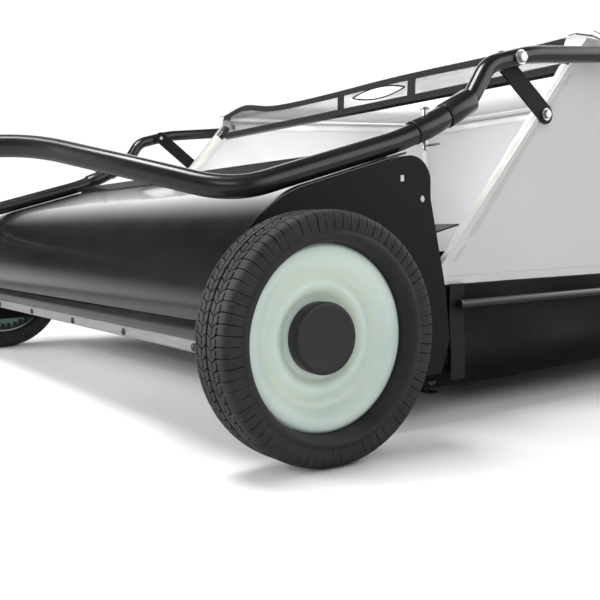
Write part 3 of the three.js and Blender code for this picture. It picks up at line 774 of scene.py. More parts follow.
# The tread in bands: place, all-round groove depth, cross groove depth.
TREAD = [
    (613.4, 0, 2.8), (610.6, 0, 2.6), (607.6, 0, 2.4), (607.0, 2.4, 0.3), (605.4, 2.4, 0.3),
    (604.8, 0, 2.8), (604.2, 0, 3.4), (601.6, 0, 3.4), (599.2, 0, 3.4), (598.3, 0, 3.4),
    (597.9, 0, 3.4), (597.2, 0, 3.4), (596.5, 0, 3.4), (596.1, 0, 3.4), (595.2, 0, 3.4),
    (592.8, 0, 3.4), (590.6, 0, 3.4), (590.0, 0, 2.6), (589.5, 4.4, 0), (588.0, 4.6, 0),
]
BAND_MIDDLE, BAND_HALF = 597.2, 7.6
TIP = 0.42  # how far the herringbone leads at its middle, in pitches
CUT_START, CUT_EASE = 0.02, 0.04  # where a cross groove starts, and how long its side is
STATIONS = (0.0, 0.02, 0.06, 0.17, 0.21, 0.23, 0.30, 0.46, 0.50, 0.72, 0.985)


def crown(x):
    """Radius of the tread over its width."""
    off = abs(x - TREAD_MIDDLE)
    knots = [(0, 127.0), (17, 127.0), (20, 126.8), (23, 126.3), (25.4, 125.5)]
    for (a, ra), (b, rb) in zip(knots, knots[1:]):
        if off <= b:
            return ra + (rb - ra) * (off - a) / (b - a)
    return knots[-1][1]


def tyre_slice():
    """One pitch of the tyre as rows of points, about the axle at the origin."""
    near = [(x, r, g, c) for x, r, g, c in WALL] + [(x, crown(x), g, c) for x, g, c in TREAD]
    far = [(2 * TREAD_MIDDLE - x, r, g, c) for x, r, g, c in near[:-1][::-1]]
    line = near + far[:-1]
    count = len(line)
    step = 2 * math.pi / PITCHES
    points = []
    for share in (*STATIONS, 1.0):
        for i, (x, r, groove, cross) in enumerate(line):
            before, after = line[(i - 1) % count], line[(i + 1) % count]
            along = Vector((after[0] - before[0], after[1] - before[1])).normalized()
            outward = Vector((along.y, -along.x))
            if outward.dot(Vector((x - TREAD_MIDDLE, r - 108.0))) < 0:
                outward = -outward
            off = abs(abs(x - TREAD_MIDDLE) - (BAND_MIDDLE - TREAD_MIDDLE))
            in_band = off < BAND_HALF
            shift = TIP * (1 - off / BAND_HALF) if in_band else 0.0
            wide = 0.21 if in_band else 0.17
            cut = min(1.0, max(0.0, (share - CUT_START) / CUT_EASE),
                      max(0.0, (wide - share) / CUT_EASE))
            depth = groove + cross * cut
            if in_band and off < 0.75 and 0.22 < share < 0.75:
                depth += 1.9
            if groove > 1 and 0.25 < share < 0.48 and abs(x - TREAD_MIDDLE) > 15:
                depth -= groove * 0.8
            place_x, place_r = x - outward.x * depth, r - outward.y * depth
            turn = (share + shift) * step
            points.append(Vector((place_x, -place_r * math.sin(turn),
                                  place_r * math.cos(turn))))
    faces = []
    for k in range(len(STATIONS)):
        for i in range(count):
            j = (i + 1) % count
            faces.append([k * count + i, k * count + j, (k + 1) * count + j,
                          (k + 1) * count + i])
    return points, faces


slice_points, slice_faces = tyre_slice()
DISC_FRONT = [
    (598.0, 94.0), (599.2, 92.8), (600.3, 91.2), (600.6, 88.6), (600.3, 85.4), (599.2, 81.8),
    (597.4, 78.6), (595.2, 75.8), (592.2, 72.4), (590.2, 69.4), (589.3, 66.0), (589.6, 62.8),
    (590.7, 59.6), (591.6, 56.6), (591.8, 53.6), (590.8, 50.2), (588.8, 46.6), (586.6, 43.6),
    (585.5, 41.0), (585.3, 38.0),
]
DISC_BACK = [
    (585.3, 34.0), (585.3, 8.6), (548.0, 8.6), (548.0, 20.0), (580.0, 22.0), (581.0, 44.0),
    (587.0, 52.0), (585.0, 65.0), (591.0, 76.0), (595.0, 83.0), (594.0, 88.5), (568.0, 90.0),
    (568.0, 94.0),
]

for side, end in SIDES:
    body = "wheel_" + end
    mirrored = [Vector((p.x * side, p.y, p.z)) * MM for p in slice_points]
    tyre = mesh_object("rubber_tyre_" + end, (mirrored, slice_faces), merge=False)
    run_nodes(tyre, ring, Centre=tuple(at(0, 0, AXLE_Z)), Finish=rubber)
    fixed = bmesh.new()
    fixed.from_mesh(tyre.data)
    bmesh.ops.recalc_face_normals(fixed, faces=fixed.faces)
    fixed.to_mesh(tyre.data)
    fixed.free()
    place(tyre, body, rubber, ["tyre_" + end], sharp=48)

    face = [tuple(p) for p in flowing(DISC_FRONT, 3)] + DISC_BACK
    disc = mesh_object("nylon_disc_" + end,
                       turned(face, at(0, 0, AXLE_Z), (side, 0, 0), 144, closed=True))
    place(disc, body, nylon, ["wheel_disc_" + end])

    rim = [(585.9, 0), (585.9, 36.2), (598.2, 36.5), (599.4, 36.1), (600.2, 35.1), (600.4, 33.9),
           (600.3, 31.0), (600.0, 24.0), (599.8, 12.0), (599.8, 0)]
    cap = mesh_object("hub_cover_" + end, turned(rim, at(0, 0, AXLE_Z), (side, 0, 0), 96))
    place(cap, body, cap_plastic, ["hub_cap_" + end], sharp=50)


# ---------------------------------------------------------------- brush

for row in range(4):
    angle = math.radians(45 + 90 * row)
    y_root = BRUSH_Y - math.sin(angle) * CORE_EDGE
    z_root = BRUSH_Z + math.cos(angle) * CORE_EDGE
    seedling = mesh_object("filament_row_%d" % (row + 1), ([], []))
    run_nodes(seedling, tuft, Count=2400, Start=tuple(at(-519, y_root, z_root)),
              End=tuple(at(519, y_root, z_root)), Length=(BRUSH_R - CORE_EDGE) * MM,
              Thickness=0.75 * MM, Tilt=angle, Lean=0.045, Width=5.6 * MM, Seed=11 + row,
              Finish=filament)
    place(seedling, "brush", filament, ["bristle_row_%d" % (row + 1)])


# ---------------------------------------------------------------- hood and plates


def arc_line(y, z, radius, start, stop, steps):
    """Points on an arc, angles in degrees from the Y axis towards Z."""
    return [(y + radius * math.cos(math.radians(start + (stop - start) * k / steps)),
             z + radius * math.sin(math.radians(start + (stop - start) * k / steps)))
            for k in range(steps + 1)]


hood_line = arc_line(BRUSH_Y, BRUSH_Z, HOOD_R, 182, 105, 56)
hood_end_y = 157.4
lift = (HOOD_R - HOOD_IN) / math.cos(SLOPE)
hood_line += [(y, top_z(y) + lift) for y in (60.0, 110.0, hood_end_y)]
hood_lip = bent_sheet([(hood_end_y, top_z(hood_end_y)), (hood_end_y, 328.8)], HOOD_T,
                      -503.5, 503.5)
hood = mesh_object("hood_shell", joined([bent_sheet(hood_line, -HOOD_T, -540, 540), hood_lip]))
softened(hood, 0.5)
place(hood, "frame", gloss_black, ["hood"], sharp=16)


def outline(inset=0.0):
    """The side plate's edge."""
    z_top = top_z(157)
    line = arc_line(BRUSH_Y, BRUSH_Z, HOOD_IN - inset, 105, 204, 60)
    line += [(-34, 62 + inset), (206, 62 + inset), (220 - inset, 100), (213 - inset, 168),
             (192.5 - inset, 266)]
    line += arc_line(163, z_top - 31, 30 - inset, 8, 105, 14)
    return line


def flat_plate(name, edge, holes, x0, x1):
    """A flat plate of a (y, z) outline with holes, from x0 to x1."""
    curve = bpy.data.curves.new(name, "CURVE")
    curve.dimensions = "2D"
    curve.fill_mode = "BOTH"
    curve.extrude = abs(x1 - x0) * MM / 2
    for loop in (edge, *holes):
        spline = curve.splines.new("POLY")
        spline.points.add(len(loop) - 1)
        for point, (y, z) in zip(spline.points, loop):
            point.co = (AXLE_Y + y * MM, z * MM, 0, 1)
        spline.use_cyclic_u = True
    holder = bpy.data.objects.new(name, curve)
    bpy.context.scene.collection.objects.link(holder)
    bpy.context.view_layer.update()
    mesh = bpy.data.meshes.new_from_object(holder.evaluated_get(
        bpy.context.evaluated_depsgraph_get()))
    bpy.data.objects.remove(holder)
    bpy.data.curves.remove(curve)
    middle = (x0 + x1) / 2 * MM
    mesh.transform(Matrix(((0, 0, 1, middle), (1, 0, 0, 0), (0, 1, 0, 0), (0, 0, 0, 1))))
    shape = ([v.co.copy() for v in mesh.vertices], [list(p.vertices) for p in mesh.polygons])
    bpy.data.meshes.remove(mesh)
    return shape


def circle(y, z, radius, steps=28):
    """A round hole's edge."""
    return arc_line(y, z, radius, 0, 360, steps)[:-1]


def square(y, z, half, turn=0):
    """A square hole's edge."""
    return arc_line(y, z, half * math.sqrt(2), 45 + turn, 405 + turn, 4)[:-1]


HOLES = [square(151.7, 289, 3.5), circle(181.4, 266, 4), circle(95.4, 242.8, 4.2),
         circle(BRUSH_Y, BRUSH_Z, 17), circle(0, AXLE_Z, 11)]
flange_edge = [p for p in outline() if p[1] > 142 and p[0] < 160]

for side, end in SIDES:
    cheek = flat_plate("side_cheek_" + end, outline(), HOLES, side * PLATE_IN, side * PLATE_OUT)
    lip = bent_sheet(sorted(flange_edge, key=lambda p: p[0]), -2.5, side * 522, side * 538)
    plate = mesh_object("side_cheek_" + end, joined([cheek, lip]))
    softened(plate, 0.45)
    place(plate, "frame", satin_black, ["side_plate_" + end], sharp=16)

bar_path = [at(-537.1, BAR_Y, BAR_Z), at(537.1, BAR_Y, BAR_Z)]
bar = mesh_object("front_cross_bar", swept(bar_path, 10.4, 40, 8.6))
place(bar, "frame", tube_black, ["front_bar"])

strip = mesh_object("front_wiper_strip", bent_sheet(
    [(-80.9, 120.3), (-80.9, 109.0), (-80.0, 107.0)], 2.6, -535, 535))
softened(strip, 0.4)
place(strip, "frame", strip_metal, ["front_strip"], sharp=16)
strip_bolts = [turned([(0, 0), (0, 4.6), (1.4, 4.0), (2.2, 2.4), (2.4, 0)],
                      at(x, -81, 113), (0, -1, 0), 20)
               for x in (-471, -280, -95, 95, 280, 471)]
place(mesh_object("strip_rivets", joined(strip_bolts)), "frame", plain_plastic)

shelf = mesh_object("rear_deflector", bent_sheet(
    [(150, 216.5), (186, 224.5), (239.4, 236.8)], -2.0, -537, 537))
softened(shelf, 0.5)
place(shelf, "frame", satin_black, ["rear_shelf"], sharp=16)


# ---------------------------------------------------------------- draw tubes and arms

for side, end in SIDES:
    def here(x, y, z, s=side):
        return at(s * x, y, z)

    corners = [here(TUBE_X, 246, 371.7), here(TUBE_X, 218, 357.4),
               here(TUBE_X, 166, tube_z(166)), here(TUBE_X, -58, tube_z(-58)),
               here(455, -118, 298), here(325, -196, 334),
               here(30, -560, 332), here(30, -650, 332)]
    tube = mesh_object("tow_tube_" + end, swept(rounded(corners, 42), TUBE_R, 32, TUBE_BORE))
    place(tube, "frame", tube_black, ["draw_tube_" + end])

    ferrule_path = [here(TUBE_X, 180, 341.4), here(TUBE_X, 200, 348.9), here(TUBE_X, 213, 355),
                    here(TUBE_X, 227.4, 362.2)]
    ferrule = mesh_object("tube_ferrule_" + end, swept(ferrule_path, 14.1, 32, 12.55))
    softened(ferrule, 0.4, 60)
    place(ferrule, "frame", tube_black)

    sleeve_path = [here(TUBE_X, 228, 362.5), here(TUBE_X, 268, 383)]
    collar = mesh_object("arm_collar_" + end, swept(sleeve_path, 15.4, 32, 12.6))
    softened(collar, 0.5, 60)
    place(collar, "frame", tube_black, ["tube_sleeve_" + end])

    corners = [here(TUBE_X, 250, 373.8), here(TUBE_X, 270, 384), here(TUBE_X, 300, 428),
               here(TUBE_X, 372, 446.5), here(TUBE_X, 547, 462)]
    arm = mesh_object("carry_arm_" + end, swept(rounded(corners, 16), ARM_R, 32, ARM_BORE))
    place(arm, "frame", tube_black, ["hopper_arm_" + end])

    clip = [here(529, 198, 327.5), here(537, 200, 327.5), here(541, 208, 329),
            here(533, 213, 330), here(520, 207, 329)]
    pin = joined([
        turned([(22.5, 0), (22.5, 4.9), (21.8, 5.6), (20.4, 5.6), (19.8, 4.9), (19.8, 2.9),
                (-26.1, 2.9), (-26.9, 2), (-26.9, 0)], here(TUBE_X, 198, 349.5), (0, 0, 1), 28),
        swept(rounded(clip, 5), 1.1, 8)])
    place(mesh_object("arm_lock_pin_" + end, pin), "frame", zinc,
          ["arm_pin_" + end])

    hook = [here(TUBE_X, 523, 428.4), here(TUBE_X, 523, 480), here(508, 520, 490)]
    hook_parts = joined([
        swept(rounded(hook, 7), 4, 16),
        hex_bolt(here(TUBE_X, 523, 438.2), (0, 0, 1), 12.6, 5.6)])
    place(mesh_object("arm_hook_" + end, hook_parts), "frame", zinc,
          ["hopper_hook_" + end])

    bolt = hex_bolt(here(537.4, *PIVOT), (side, 0, 0), 12.6, 4.2, 9.4, 31.6, 4.2)
    place(mesh_object("tip_bolt_" + end, bolt), "frame", zinc,
          ["pivot_bolt_" + end])

    link_way = (Vector(LINK_FOOT) - Vector(PIVOT)).normalized()
    link_edge = []
    for centre, start in ((LINK_FOOT, -90), (PIVOT, 90)):
        base = math.degrees(math.atan2(link_way.y, link_way.x))
        link_edge += arc_line(*centre, 12.9, base + start, base + start + 180, 14)
    link = flat_plate("hanger_strap", link_edge,
                      [circle(*PIVOT, 4.6, 20), circle(*LINK_FOOT, 4.2, 20)],
                      side * 505.5, side * 508.3)
    hanger = mesh_object("hanger_strap_" + end, link)
    softened(hanger, 0.4)
    place(hanger, "hopper", satin_black, ["hanger_link_" + end], sharp=16)

    bolt = hex_bolt(here(508.4, *LINK_FOOT), (side, 0, 0), 11, 3.6, 8.2)
    place(mesh_object("hanger_screw_" + end, bolt), "hopper", zinc,
          ["hanger_bolt_" + end])


# ---------------------------------------------------------------- hitch

hitch_parts = []
for low, high in ((344.9, 348.9), (315.1, 319.1)):
    points, faces = flat_plate(
        "hitch_leaf", [(-690, -34), (-678, -46), (-597, -46), (-585, -34), (-585, 34), (-597, 46),
                       (-678, 46), (-690, 34)],
        [circle(-668, 0, 8.4), circle(HITCH_BOLT_Y, 30, 4.4, 16),
         circle(HITCH_BOLT_Y, -30, 4.4, 16)],
        0, high - low)
    turned_down = [Vector((p.z, p.y, low * MM + p.x)) for p in points]
    hitch_parts.append((turned_down, faces))
hitch_parts.append(block((-13.8, -650, 319), (13.8, -600, 345)))
hitch = mesh_object("hitch_fork", joined(hitch_parts))
softened(hitch, 0.6)
place(hitch, "frame", satin_black, ["hitch_bracket"], sharp=16)

for side, end in SIDES:
    screw = joined([
        hex_bolt(at(side * 30, HITCH_BOLT_Y, 348.9), (0, 0, 1), 13, 5.2, 9.6, 36, 4.2),
        hex_bolt(at(side * 30, HITCH_BOLT_Y, 315.1), (0, 0, -1), 13, 5.2, 9.6)])
    place(mesh_object("hitch_screw_" + end, screw), "frame", zinc,
          ["hitch_bolt_" + end])


# ---------------------------------------------------------------- cloth helpers


def cloth(name, rows, thick, inside=1.0):
    """A sheet from rows of points, with its own UV map in metres, and a thickness."""
    height, width = len(rows), len(rows[0])
    points = [p for row in rows for p in row]
    faces = [[j * width + i, j * width + i + 1, (j + 1) * width + i + 1, (j + 1) * width + i]
             for j in range(height - 1) for i in range(width - 1)]
    mesh = bpy.data.meshes.new(name)
    mesh.from_pydata([tuple(p) for p in points], [], faces)
    middle = rows[height // 2]
    us, vs = [0.0], [0.0]
    for a, b in zip(middle, middle[1:]):
        us.append(us[-1] + (b - a).length)
    for j in range(height - 1):
        vs.append(vs[-1] + (rows[j + 1][width // 2] - rows[j][width // 2]).length)
    layer = mesh.uv_layers.new(name="cloth")
    for loop in mesh.loops:
        layer.data[loop.index].uv = (us[loop.vertex_index % width],
                                     vs[loop.vertex_index // width])
    obj = bpy.data.objects.new(name, mesh)
    bpy.context.scene.collection.objects.link(obj)
    shaped_by(obj, "SOLIDIFY", thickness=thick * MM, offset=inside, use_even_offset=False)
    return obj


def smooth_step(a, b, value):
    """0 before a, 1 after b, and smooth between them."""
    t = min(1.0, max(0.0, (value - a) / (b - a)))
    return t * t * (3 - 2 * t)


def blended(a, b, share):
    """A point on the way from a to b."""
    return a + (b - a) * share


random.seed(4207)
FOLDS = [(random.uniform(0.008, 0.03), random.uniform(0, 6.28), random.uniform(0.4, 1.0))
         for _ in range(9)]


def fold(distance, height):
    """Soft upright folds in the hopper's wall, in millimetres, by distance along it."""
    total = sum(size * math.sin(rate * distance + phase + 0.9 * math.sin(height * 3.1 + phase))
                for rate, phase, size in FOLDS)
    return total * 0.55


# ---------------------------------------------------------------- hopper walls

CORNER = 26.0


def wall_point(share, height):
    """The hopper's wall: round it from the left mouth edge to the right one, bottom to top."""
    front = 215.8 + (507 - 215.8) * height
    back = 1150 - 40 * height
    side_run, back_run = 920.0, 2 * BAG_X
    whole = 2 * side_run + back_run
    run = share * whole
    inner = 3.0 + 5.0 * math.sin(math.pi * height) + fold(run, height) * math.sin(
        math.pi * min(1.0, height * 0.9 + 0.1)) ** 0.7
    inner = max(inner, 0.6)
    half = BAG_X - 2
    if run < side_run or run > whole - side_run:
        side = 1 if run < side_run else -1
        part = run / side_run if side > 0 else (whole - run) / side_run
        y = front + (back - CORNER - front) * part
        top = 162.6 + (484 + (y - 509) / 601 * 16 - 162.6) * height
        hem = smooth_step(0, 0.04, part)
        return at(side * (half - inner * hem), y, top)
    part = (run - side_run) / back_run
    x = half - part * 2 * half
    near = max(0.0, abs(x) - (half - CORNER))
    drop = CORNER - math.sqrt(max(CORNER ** 2 - near ** 2, 0.0))
    ease = 1 - near / CORNER
    top = 162.6 + (500 - 162.6) * height
    bulge = inner * ease
    return at(x - math.copysign(inner * (1 - ease), x), back - drop - bulge, top)


COLUMNS, LEVELS = 260, 30
wall_rows = [[wall_point(i / COLUMNS, j / LEVELS) for i in range(COLUMNS + 1)]
             for j in range(LEVELS + 1)]
walls = cloth("hopper_cloth_wall", wall_rows, 1.4, 0.0)
place(walls, "hopper", light_cloth, ["hopper_bag"])
for side, end in SIDES:
    foot, head = at(side * MOUTH_X, 228, 150), at(side * MOUTH_X, 504, 466)
    path = [blended(foot, head, 0.06 + 0.86 * k / 60) for k in range(61)]
    gather = random.Random(5)
    phases = [gather.uniform(0, 6.28) for _ in range(4)]

    def sleeve_radius(share, turn, p=phases):
        crease = math.sin(46 * share + p[0] + 2 * math.sin(turn + p[1]))
        return 10.6 + 0.7 * crease + 0.5 * math.sin(3 * turn + 9 * share + p[2])

    sleeve = mesh_object("mouth_sleeve_" + end, swept(path, sleeve_radius, 28, 8.3))
    layer = sleeve.data.uv_layers.new(name="cloth")
    for loop in sleeve.data.loops:
        spot = sleeve.data.vertices[loop.vertex_index].co
        layer.data[loop.index].uv = (spot.x + spot.y * 0.3, spot.z)
    place(sleeve, "hopper", sleeve_cloth)
    rod = mesh_object("mouth_strut_" + end, swept([foot, head], ROD_R, 24, 6.6))
    place(rod, "hopper", tube_black, ["hopper_strut_" + end])

    corners = [at(side * MOUTH_X, 522, 469), at(side * MOUTH_X, 1094, 486),
               at(side * MOUTH_X, 1132, 168)]
    rail = mesh_object("side_rail_" + end, swept(rounded(corners, 40), ROD_R, 24, 6.6))
    place(rail, "hopper", rod_sock, ["hopper_rail_" + end])
    low = mesh_object("floor_side_rod_" + end, swept(
        [at(side * 512.5, 262, 138), at(side * 512.5, 1128, 138)], 5.9, 20))
    place(low, "hopper", tube_black, ["hopper_side_rod_" + end])

for name, node_name, finish in (("top_front_rod", "hopper_front_rod", tube_black),
                                ("top_back_rod", "hopper_rear_rod", None),
                                ("mouth_sill_rod", "hopper_sill_rod", tube_black)):
    low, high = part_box(node_name)
    half = (high.x - low.x) / 2 / MM
    y = ((low.y + high.y) / 2 - AXLE_Y) / MM
    z = (low.z + high.z) / 2 / MM
    rod = mesh_object(name, swept([at(-half, y, z), at(half, y, z)], ROD_R - 0.05, 24))
    place(rod, "hopper", finish or rod_sock,
          [node_name])


# ---------------------------------------------------------------- hopper floor


def floor_drop(y):
    """Height of the vinyl floor's underside along the hopper."""
    knots = [(215, 27), (400, 27), (1070, 50), (1128, 86), (1150, 140)]
    for (a, za), (b, zb) in zip(knots, knots[1:]):
        if y <= b:
            return za + (zb - za) * (y - a) / (b - a)
    return 140


def floor_section(y):
    """The vinyl floor across the hopper: down one side, over the bottom, up the other."""
    low = floor_drop(y) + 1.0
    half = 504.0
    curl = min(46.0, (161 - low) * 0.6)
    droop = 3.0 * math.sin(y * 0.021) + 2.0 * math.sin(y * 0.047 + 1.3)
    side = []
    for k in range(9):
        z = 161.6 + (low + curl - 161.6) * k / 8
        puff = 2.2 * math.sin(math.pi * k / 8) * (1 + math.sin(y * 0.03))
        side.append((half - puff * 0.8, z))
    for k in range(1, 11):
        turn = math.pi / 2 * k / 10
        side.append((half - curl + curl * math.cos(turn), low + curl - curl * math.sin(turn)))
    flat = []
    for k in range(1, 24):
        x = (half - curl) * (1 - 2 * k / 24)
        hang = 0.5 * (1 + math.sin(x * 0.02 + y * 0.01)) * 4.0
        flat.append((x, low + hang * math.sin(math.pi * k / 24) + 0.2 * abs(droop)))
    line = side + flat + [(-x, z) for x, z in side[::-1]]
    return [at(x, y, z) for x, z in line]


stops = [216 + 934 * (k / 70) for k in range(71)]
floor_rows = [floor_section(min(y, 1149.6)) for y in stops]
tray = cloth("hopper_vinyl_floor", floor_rows, 1.8, 0.0)
place(tray, "hopper", vinyl, ["hopper_floor"])

back_rows = [[at(-503 + 1006 * i / 40, 1148.4, 139 + 23 * j / 4) for i in range(41)]
             for j in range(5)]
back_strip = cloth("hopper_vinyl_back", back_rows, 1.6, 0.0)
place(back_strip, "hopper", vinyl)

lip_line = [(238, 30.0), (224, 30.0), (217.6, 36), (217.2, 48), (217.6, 63)]
lip_rows = [[at(-501 + 1002 * i / 60, y, z) for i in range(61)] for y, z in lip_line]
lip = cloth("hopper_vinyl_lip", lip_rows, 1.8, 0.0)
place(lip, "hopper", vinyl)

for side, end in SIDES:
    strap_rows = []
    for k in range(15):
        z = 44 + (163 - 44) * k / 14
        strap_rows.append([at(side * (506.6 + 1.0 * math.sin(k * 0.5)), 252 + w, z)
                           for w in (0, 6, 12, 18, 24)])
    strap = cloth("floor_strap_" + end, strap_rows, 1.5, 0.0)
    place(strap, "hopper", tape_cloth)


# ---------------------------------------------------------------- mesh top

LENS_X, LENS_HALF, LENS_RISE, LENS_Z = 80.0, 73.0, 9.5, 467.0


def apron_y(z, x):
    """How far back the front of the mesh top hangs."""
    return 487.6 + 1.2 * math.sin(x * 0.031) * smooth_step(478, 450, z) + smooth_step(
        474, 488, z) * 5.0


def lens(x):
    """Half the height of the hand opening."""
    part = (x - LENS_X) / LENS_HALF
    return LENS_RISE * max(0.0, 1 - part * part)


def apron_rows(low, high, levels, columns=240):
    """Rows between two edges, each a height by place across."""
    rows = []
    for j in range(levels + 1):
        row = []
        for i in range(columns + 1):
            x = -484 + 968 * i / columns
            z = low(x) + (high(x) - low(x)) * j / levels
            row.append(at(x, apron_y(z, x), z))
        rows.append(row)
    return rows


def top_lift(x):
    """The mesh top's height over its front edge: it bows up a little towards the right."""
    return 15.0 * math.exp(-((x + 392) / 78) ** 2) + 1.4 * math.sin(x * 0.012)


def apron_top(x):
    """Height of the front edge of the mesh top."""
    return 487.0 + top_lift(x)


lower = cloth("net_apron_lower", apron_rows(lambda x: 441.6, lambda x: LENS_Z - lens(x), 8),
              0.8, 0.0)
place(lower, "hopper", net_cloth)
upper = cloth("net_apron_upper", apron_rows(lambda x: LENS_Z + lens(x), apron_top, 8), 0.8, 0.0)
place(upper, "hopper", net_cloth)

panel_rows = []
for j in range(41):
    along = j / 40
    row = []
    for i in range(121):
        x = -500 + 1000 * i / 120
        y = 492 + (1110 - 492) * along
        sag = 7.0 * math.sin(math.pi * along) * math.cos(math.pi * x / 1010)
        wave = 1.2 * math.sin(x * 0.02 + along * 5) * math.sin(math.pi * along)
        row.append(at(x, y, 488.4 + 14.0 * along - sag + wave + top_lift(x) * (1 - along)))
    panel_rows.append(row)
panel = cloth("net_top_panel", panel_rows, 0.8, 0.0)
place(panel, "hopper", light_cloth, ["hopper_top"])


def tape(name, line, width, way, thick=1.1):
    """A flat tape along a line of points, wide in one direction."""
    way = Vector(way).normalized() * (width * MM / 2)
    rows = [[p - way + 2 * way * k / 3 for p in line] for k in range(4)]
    piece = cloth(name, rows, thick, 0.0)
    return place(piece, "hopper", tape_cloth)


def across(z_of, y_shift, steps=160, half=484.0):
    """A line of points across the apron."""
    line = []
    for i in range(steps + 1):
        x = -half + 2 * half * i / steps
        line.append(at(x, apron_y(z_of(x), x) + y_shift, z_of(x)))
    return line


hems = [
    tape("net_hem_bottom", across(lambda x: 446.6, -0.6), 10.5, (0, 0, 1)),
    tape("net_hem_top", across(lambda x: apron_top(x) - 6, -0.9), 11.0, (0, 0.25, 1)),
    tape("net_hem_back", [at(-500 + 10 * i, 1108, 503.2) for i in range(101)], 14, (0, 1, 0)),
]
for side, end in SIDES:
    edge = []
    for k in range(61):
        along = k / 60
        edge.append(at(side * 494.5, 492 + 618 * along,
                       489.4 + 14 * along + top_lift(side * 494) * (1 - along)))
    hems.append(tape("net_hem_" + end, edge, 14, (1, 0, 0)))

eye_line = [(LENS_X + LENS_HALF * math.cos(t * math.pi / 40),
             LENS_Z + LENS_RISE * math.sin(t * math.pi / 40) * abs(math.sin(t * math.pi / 40)))
            for t in range(80)]
eye_path = [at(x, apron_y(z, x) - 0.4, z) for x, z in eye_line]
eye_path.append(eye_path[0])
binding = mesh_object("hand_opening_binding", swept(eye_path, 1.3, 8))
layer = binding.data.uv_layers.new(name="cloth")
for loop in binding.data.loops:
    spot = binding.data.vertices[loop.vertex_index].co
    layer.data[loop.index].uv = (spot.x, spot.z)
place(binding, "hopper", tape_cloth)
hems.append(binding)

patch_lines = []
for x in (-28.0, 170.0):
    line = [at(x, apron_y(z, x) - 0.9, z) for z in (452, 458, 464, 470, 476, 482)]
    hems.append(tape("hand_opening_patch_%s" % ("a" if x < 0 else "b"), line, 19, (1, 0, 0)))
    for dx in (-7, 7):
        patch_lines.append([at(x + dx, apron_y(z, x) - 1.7, z) for z in (454, 461, 468, 475, 480)])

seams = [across(lambda x: 443.4, -1.5), across(lambda x: 449.8, -1.5),
         across(lambda x: apron_top(x) - 10, -1.9)]
stitched("net_stitches", seams + patch_lines, "hopper", thread_black)
wall_seam = []
for j in (1, 28):
    line = []
    for i in range(0, COLUMNS + 1, 2):
        p = wall_point(i / COLUMNS, j / LEVELS)
        q = wall_point(min(i + 1, COLUMNS) / COLUMNS, j / LEVELS)
        back = wall_point(max(i - 1, 0) / COLUMNS, j / LEVELS)
        out = (q - back).cross(Vector((0, 0, 1))).normalized()
        out = out if out.dot(p - at(0, 680, p.z / MM)) > 0 else -out
        line.append(p + out * 0.0011)
    wall_seam.append(line)
stitched("wall_stitches", wall_seam, "hopper", thread_pale)


# ---------------------------------------------------------------- parts kept as they are

KEPT = {
    "zinc_steel": (zinc, ["wheel_axle_left", "wheel_axle_right", "axle_nut_left",
                          "axle_nut_right", "brush_shaft", "hitch_pin"]),
    "black_plastic": (plain_plastic, ["ring_gear_left", "ring_gear_right", "pinion_left",
                                      "pinion_right", "brush_core", "brush_bearing_left",
                                      "brush_bearing_right"]),
}
for slot, (material, names) in KEPT.items():
    for name in names:
        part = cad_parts[name]
        part.data.materials.clear()
        part.data.materials.append(material)


# ---------------------------------------------------------------- floor, light and camera


def studio_floor():
    """A plain pale floor, painted darker grey where glossy rays see it, which paints a dark
    reflection on the undersides above it.
    """
    material, tree, shader = new_material("studio floor", Roughness=0.7, Specular_IOR_Level=0.2)
    speck = use(tree, grain, Scale=30.0, Slow_Scale=1.0)
    base = mixed(tree, speck["Tone"], (0.86, 0.86, 0.86), (0.9, 0.9, 0.9))
    # Painted reflection: glossy rays see the floor as darker grey than it is.
    mirrored_ray = node(tree, "ShaderNodeLightPath").outputs["Is Glossy Ray"]
    base = mixed(tree, mirrored_ray, base, (0.4, 0.4, 0.4))
    tree.links.new(base, shader.inputs["Base Color"])
    return material


floor = mesh_object("studio_floor", (
    [Vector((x, y, FLOOR_Z)) for x, y in ((-14, -12), (14, -12), (14, 14), (-14, 14))],
    [[0, 1, 2, 3]]))
floor.data.materials.append(studio_floor())

world = bpy.data.worlds.new("studio")
bpy.context.scene.world = world
world.use_nodes = True
sky = world.node_tree
sky.nodes.clear()
# Glossy rays see their own sky: a bright low band and a bright card, painted reflections that give
# no light to diffuse surfaces.
sky_way = node(sky, "ShaderNodeSeparateXYZ",
               {0: node(sky, "ShaderNodeTexCoord").outputs["Generated"]}).outputs
painted_horizon_band = maths(sky, "MULTIPLY", spread(sky, sky_way[2], 0.02, 0.13, 0.9, 0.012),
                spread(sky, sky_way[0], 0.1, 0.5, 1.0, 0.15))
painted_reflection_card = maths(sky, "MULTIPLY", spread(sky, sky_way[1], 0.03, 0.36, 0.0, 1.8),
                 spread(sky, sky_way[2], 0.75, 0.5))
painted_reflection_tone = maths(sky, "MAXIMUM", painted_horizon_band, painted_reflection_card)
path = node(sky, "ShaderNodeLightPath").outputs
sky_light = node(sky, "ShaderNodeBackground", {0: (1, 1, 1, 1), 1: 0.55}).outputs[0]
painted_reflection_sky = node(sky, "ShaderNodeBackground", {0: (1, 1, 1, 1), 1: painted_reflection_tone}).outputs[0]
sky_seen = node(sky, "ShaderNodeBackground", {0: (1, 1, 1, 1), 1: 1.05}).outputs[0]
sky_mix = node(sky, "ShaderNodeMixShader", {0: path["Is Glossy Ray"], 1: sky_light,
                                            2: painted_reflection_sky}).outputs[0]
sky_mix = node(sky, "ShaderNodeMixShader", {0: path["Is Camera Ray"], 1: sky_mix,
                                            2: sky_seen}).outputs[0]
sky_out = node(sky, "ShaderNodeOutputWorld")
sky.links.new(sky_mix, sky_out.inputs[0])


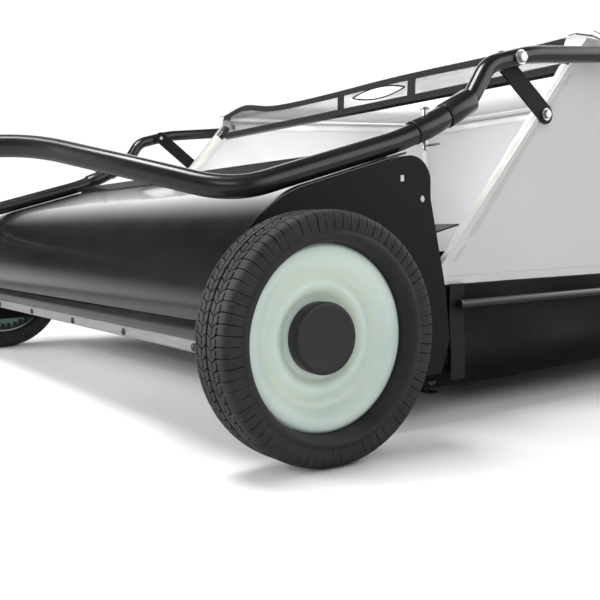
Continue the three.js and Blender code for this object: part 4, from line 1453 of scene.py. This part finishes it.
def soft_box(name, spot, aim, width, height, power):
    """A rectangular studio light."""
    data = bpy.data.lights.new(name, "AREA")
    data.shape = "RECTANGLE"
    data.size, data.size_y, data.energy = width, height, power
    lamp = bpy.data.objects.new(name, data)
    bpy.context.scene.collection.objects.link(lamp)
    lamp.location = spot
    lamp.rotation_euler = (Vector(aim) - Vector(spot)).to_track_quat("-Z", "Y").to_euler()


soft_box("top light", (0.1, -0.8, 2.4), (0, -0.1, 0.2), 1.1, 0.8, 46)
soft_box("front light", (-1.4, -3.0, 1.3), (0.1, -0.1, 0.2), 2.0, 1.4, 105)
soft_box("side light", (3.2, -1.8, 2.0), (0.3, 0, 0.2), 1.6, 1.4, 16)
soft_box("back light", (0.6, 3.6, 2.2), (0.2, 0.4, 0.3), 2.4, 1.4, 30)
# The hopper's cloth passes no light here, so two lamps inside it stand for what it would pass.
for glow_x, glow_power in ((-100, 5.6), (300, 5.0)):
    inner = bpy.data.lights.new("hopper glow", "POINT")
    inner.energy, inner.shadow_soft_size = glow_power, 0.12
    glow = bpy.data.objects.new("hopper glow", inner)
    bpy.context.scene.collection.objects.link(glow)
    glow.location = at(glow_x, 640, 290)
    glow.visible_camera, glow.visible_glossy = False, False

YAW, PITCH, ROLL = math.radians(33.55), math.radians(4.766), -0.0225
level = Vector((-math.cos(YAW), math.sin(YAW), 0))
up_axis = Vector((0, 0, 1))
ahead = level * math.cos(PITCH) - up_axis * math.sin(PITCH)
up_view = up_axis * math.cos(PITCH) + level * math.sin(PITCH)
right_view = Vector((math.sin(YAW), math.cos(YAW), 0))
right = right_view * math.cos(ROLL) + up_view * math.sin(ROLL)
up = up_view * math.cos(ROLL) - right_view * math.sin(ROLL)
lens_data = bpy.data.cameras.new("camera")
lens_data.lens = 52.98
lens_data.sensor_width = 36.0
lens_data.clip_start = 0.05
camera = bpy.data.objects.new("camera", lens_data)
bpy.context.scene.collection.objects.link(camera)
turned_to = Matrix((right, up, -ahead)).transposed().to_4x4()
camera.matrix_world = Matrix.Translation(at(1305.2, -498.0, 237.8)) @ turned_to
bpy.context.scene.camera = camera
bpy.context.scene.view_settings.view_transform = "Standard"
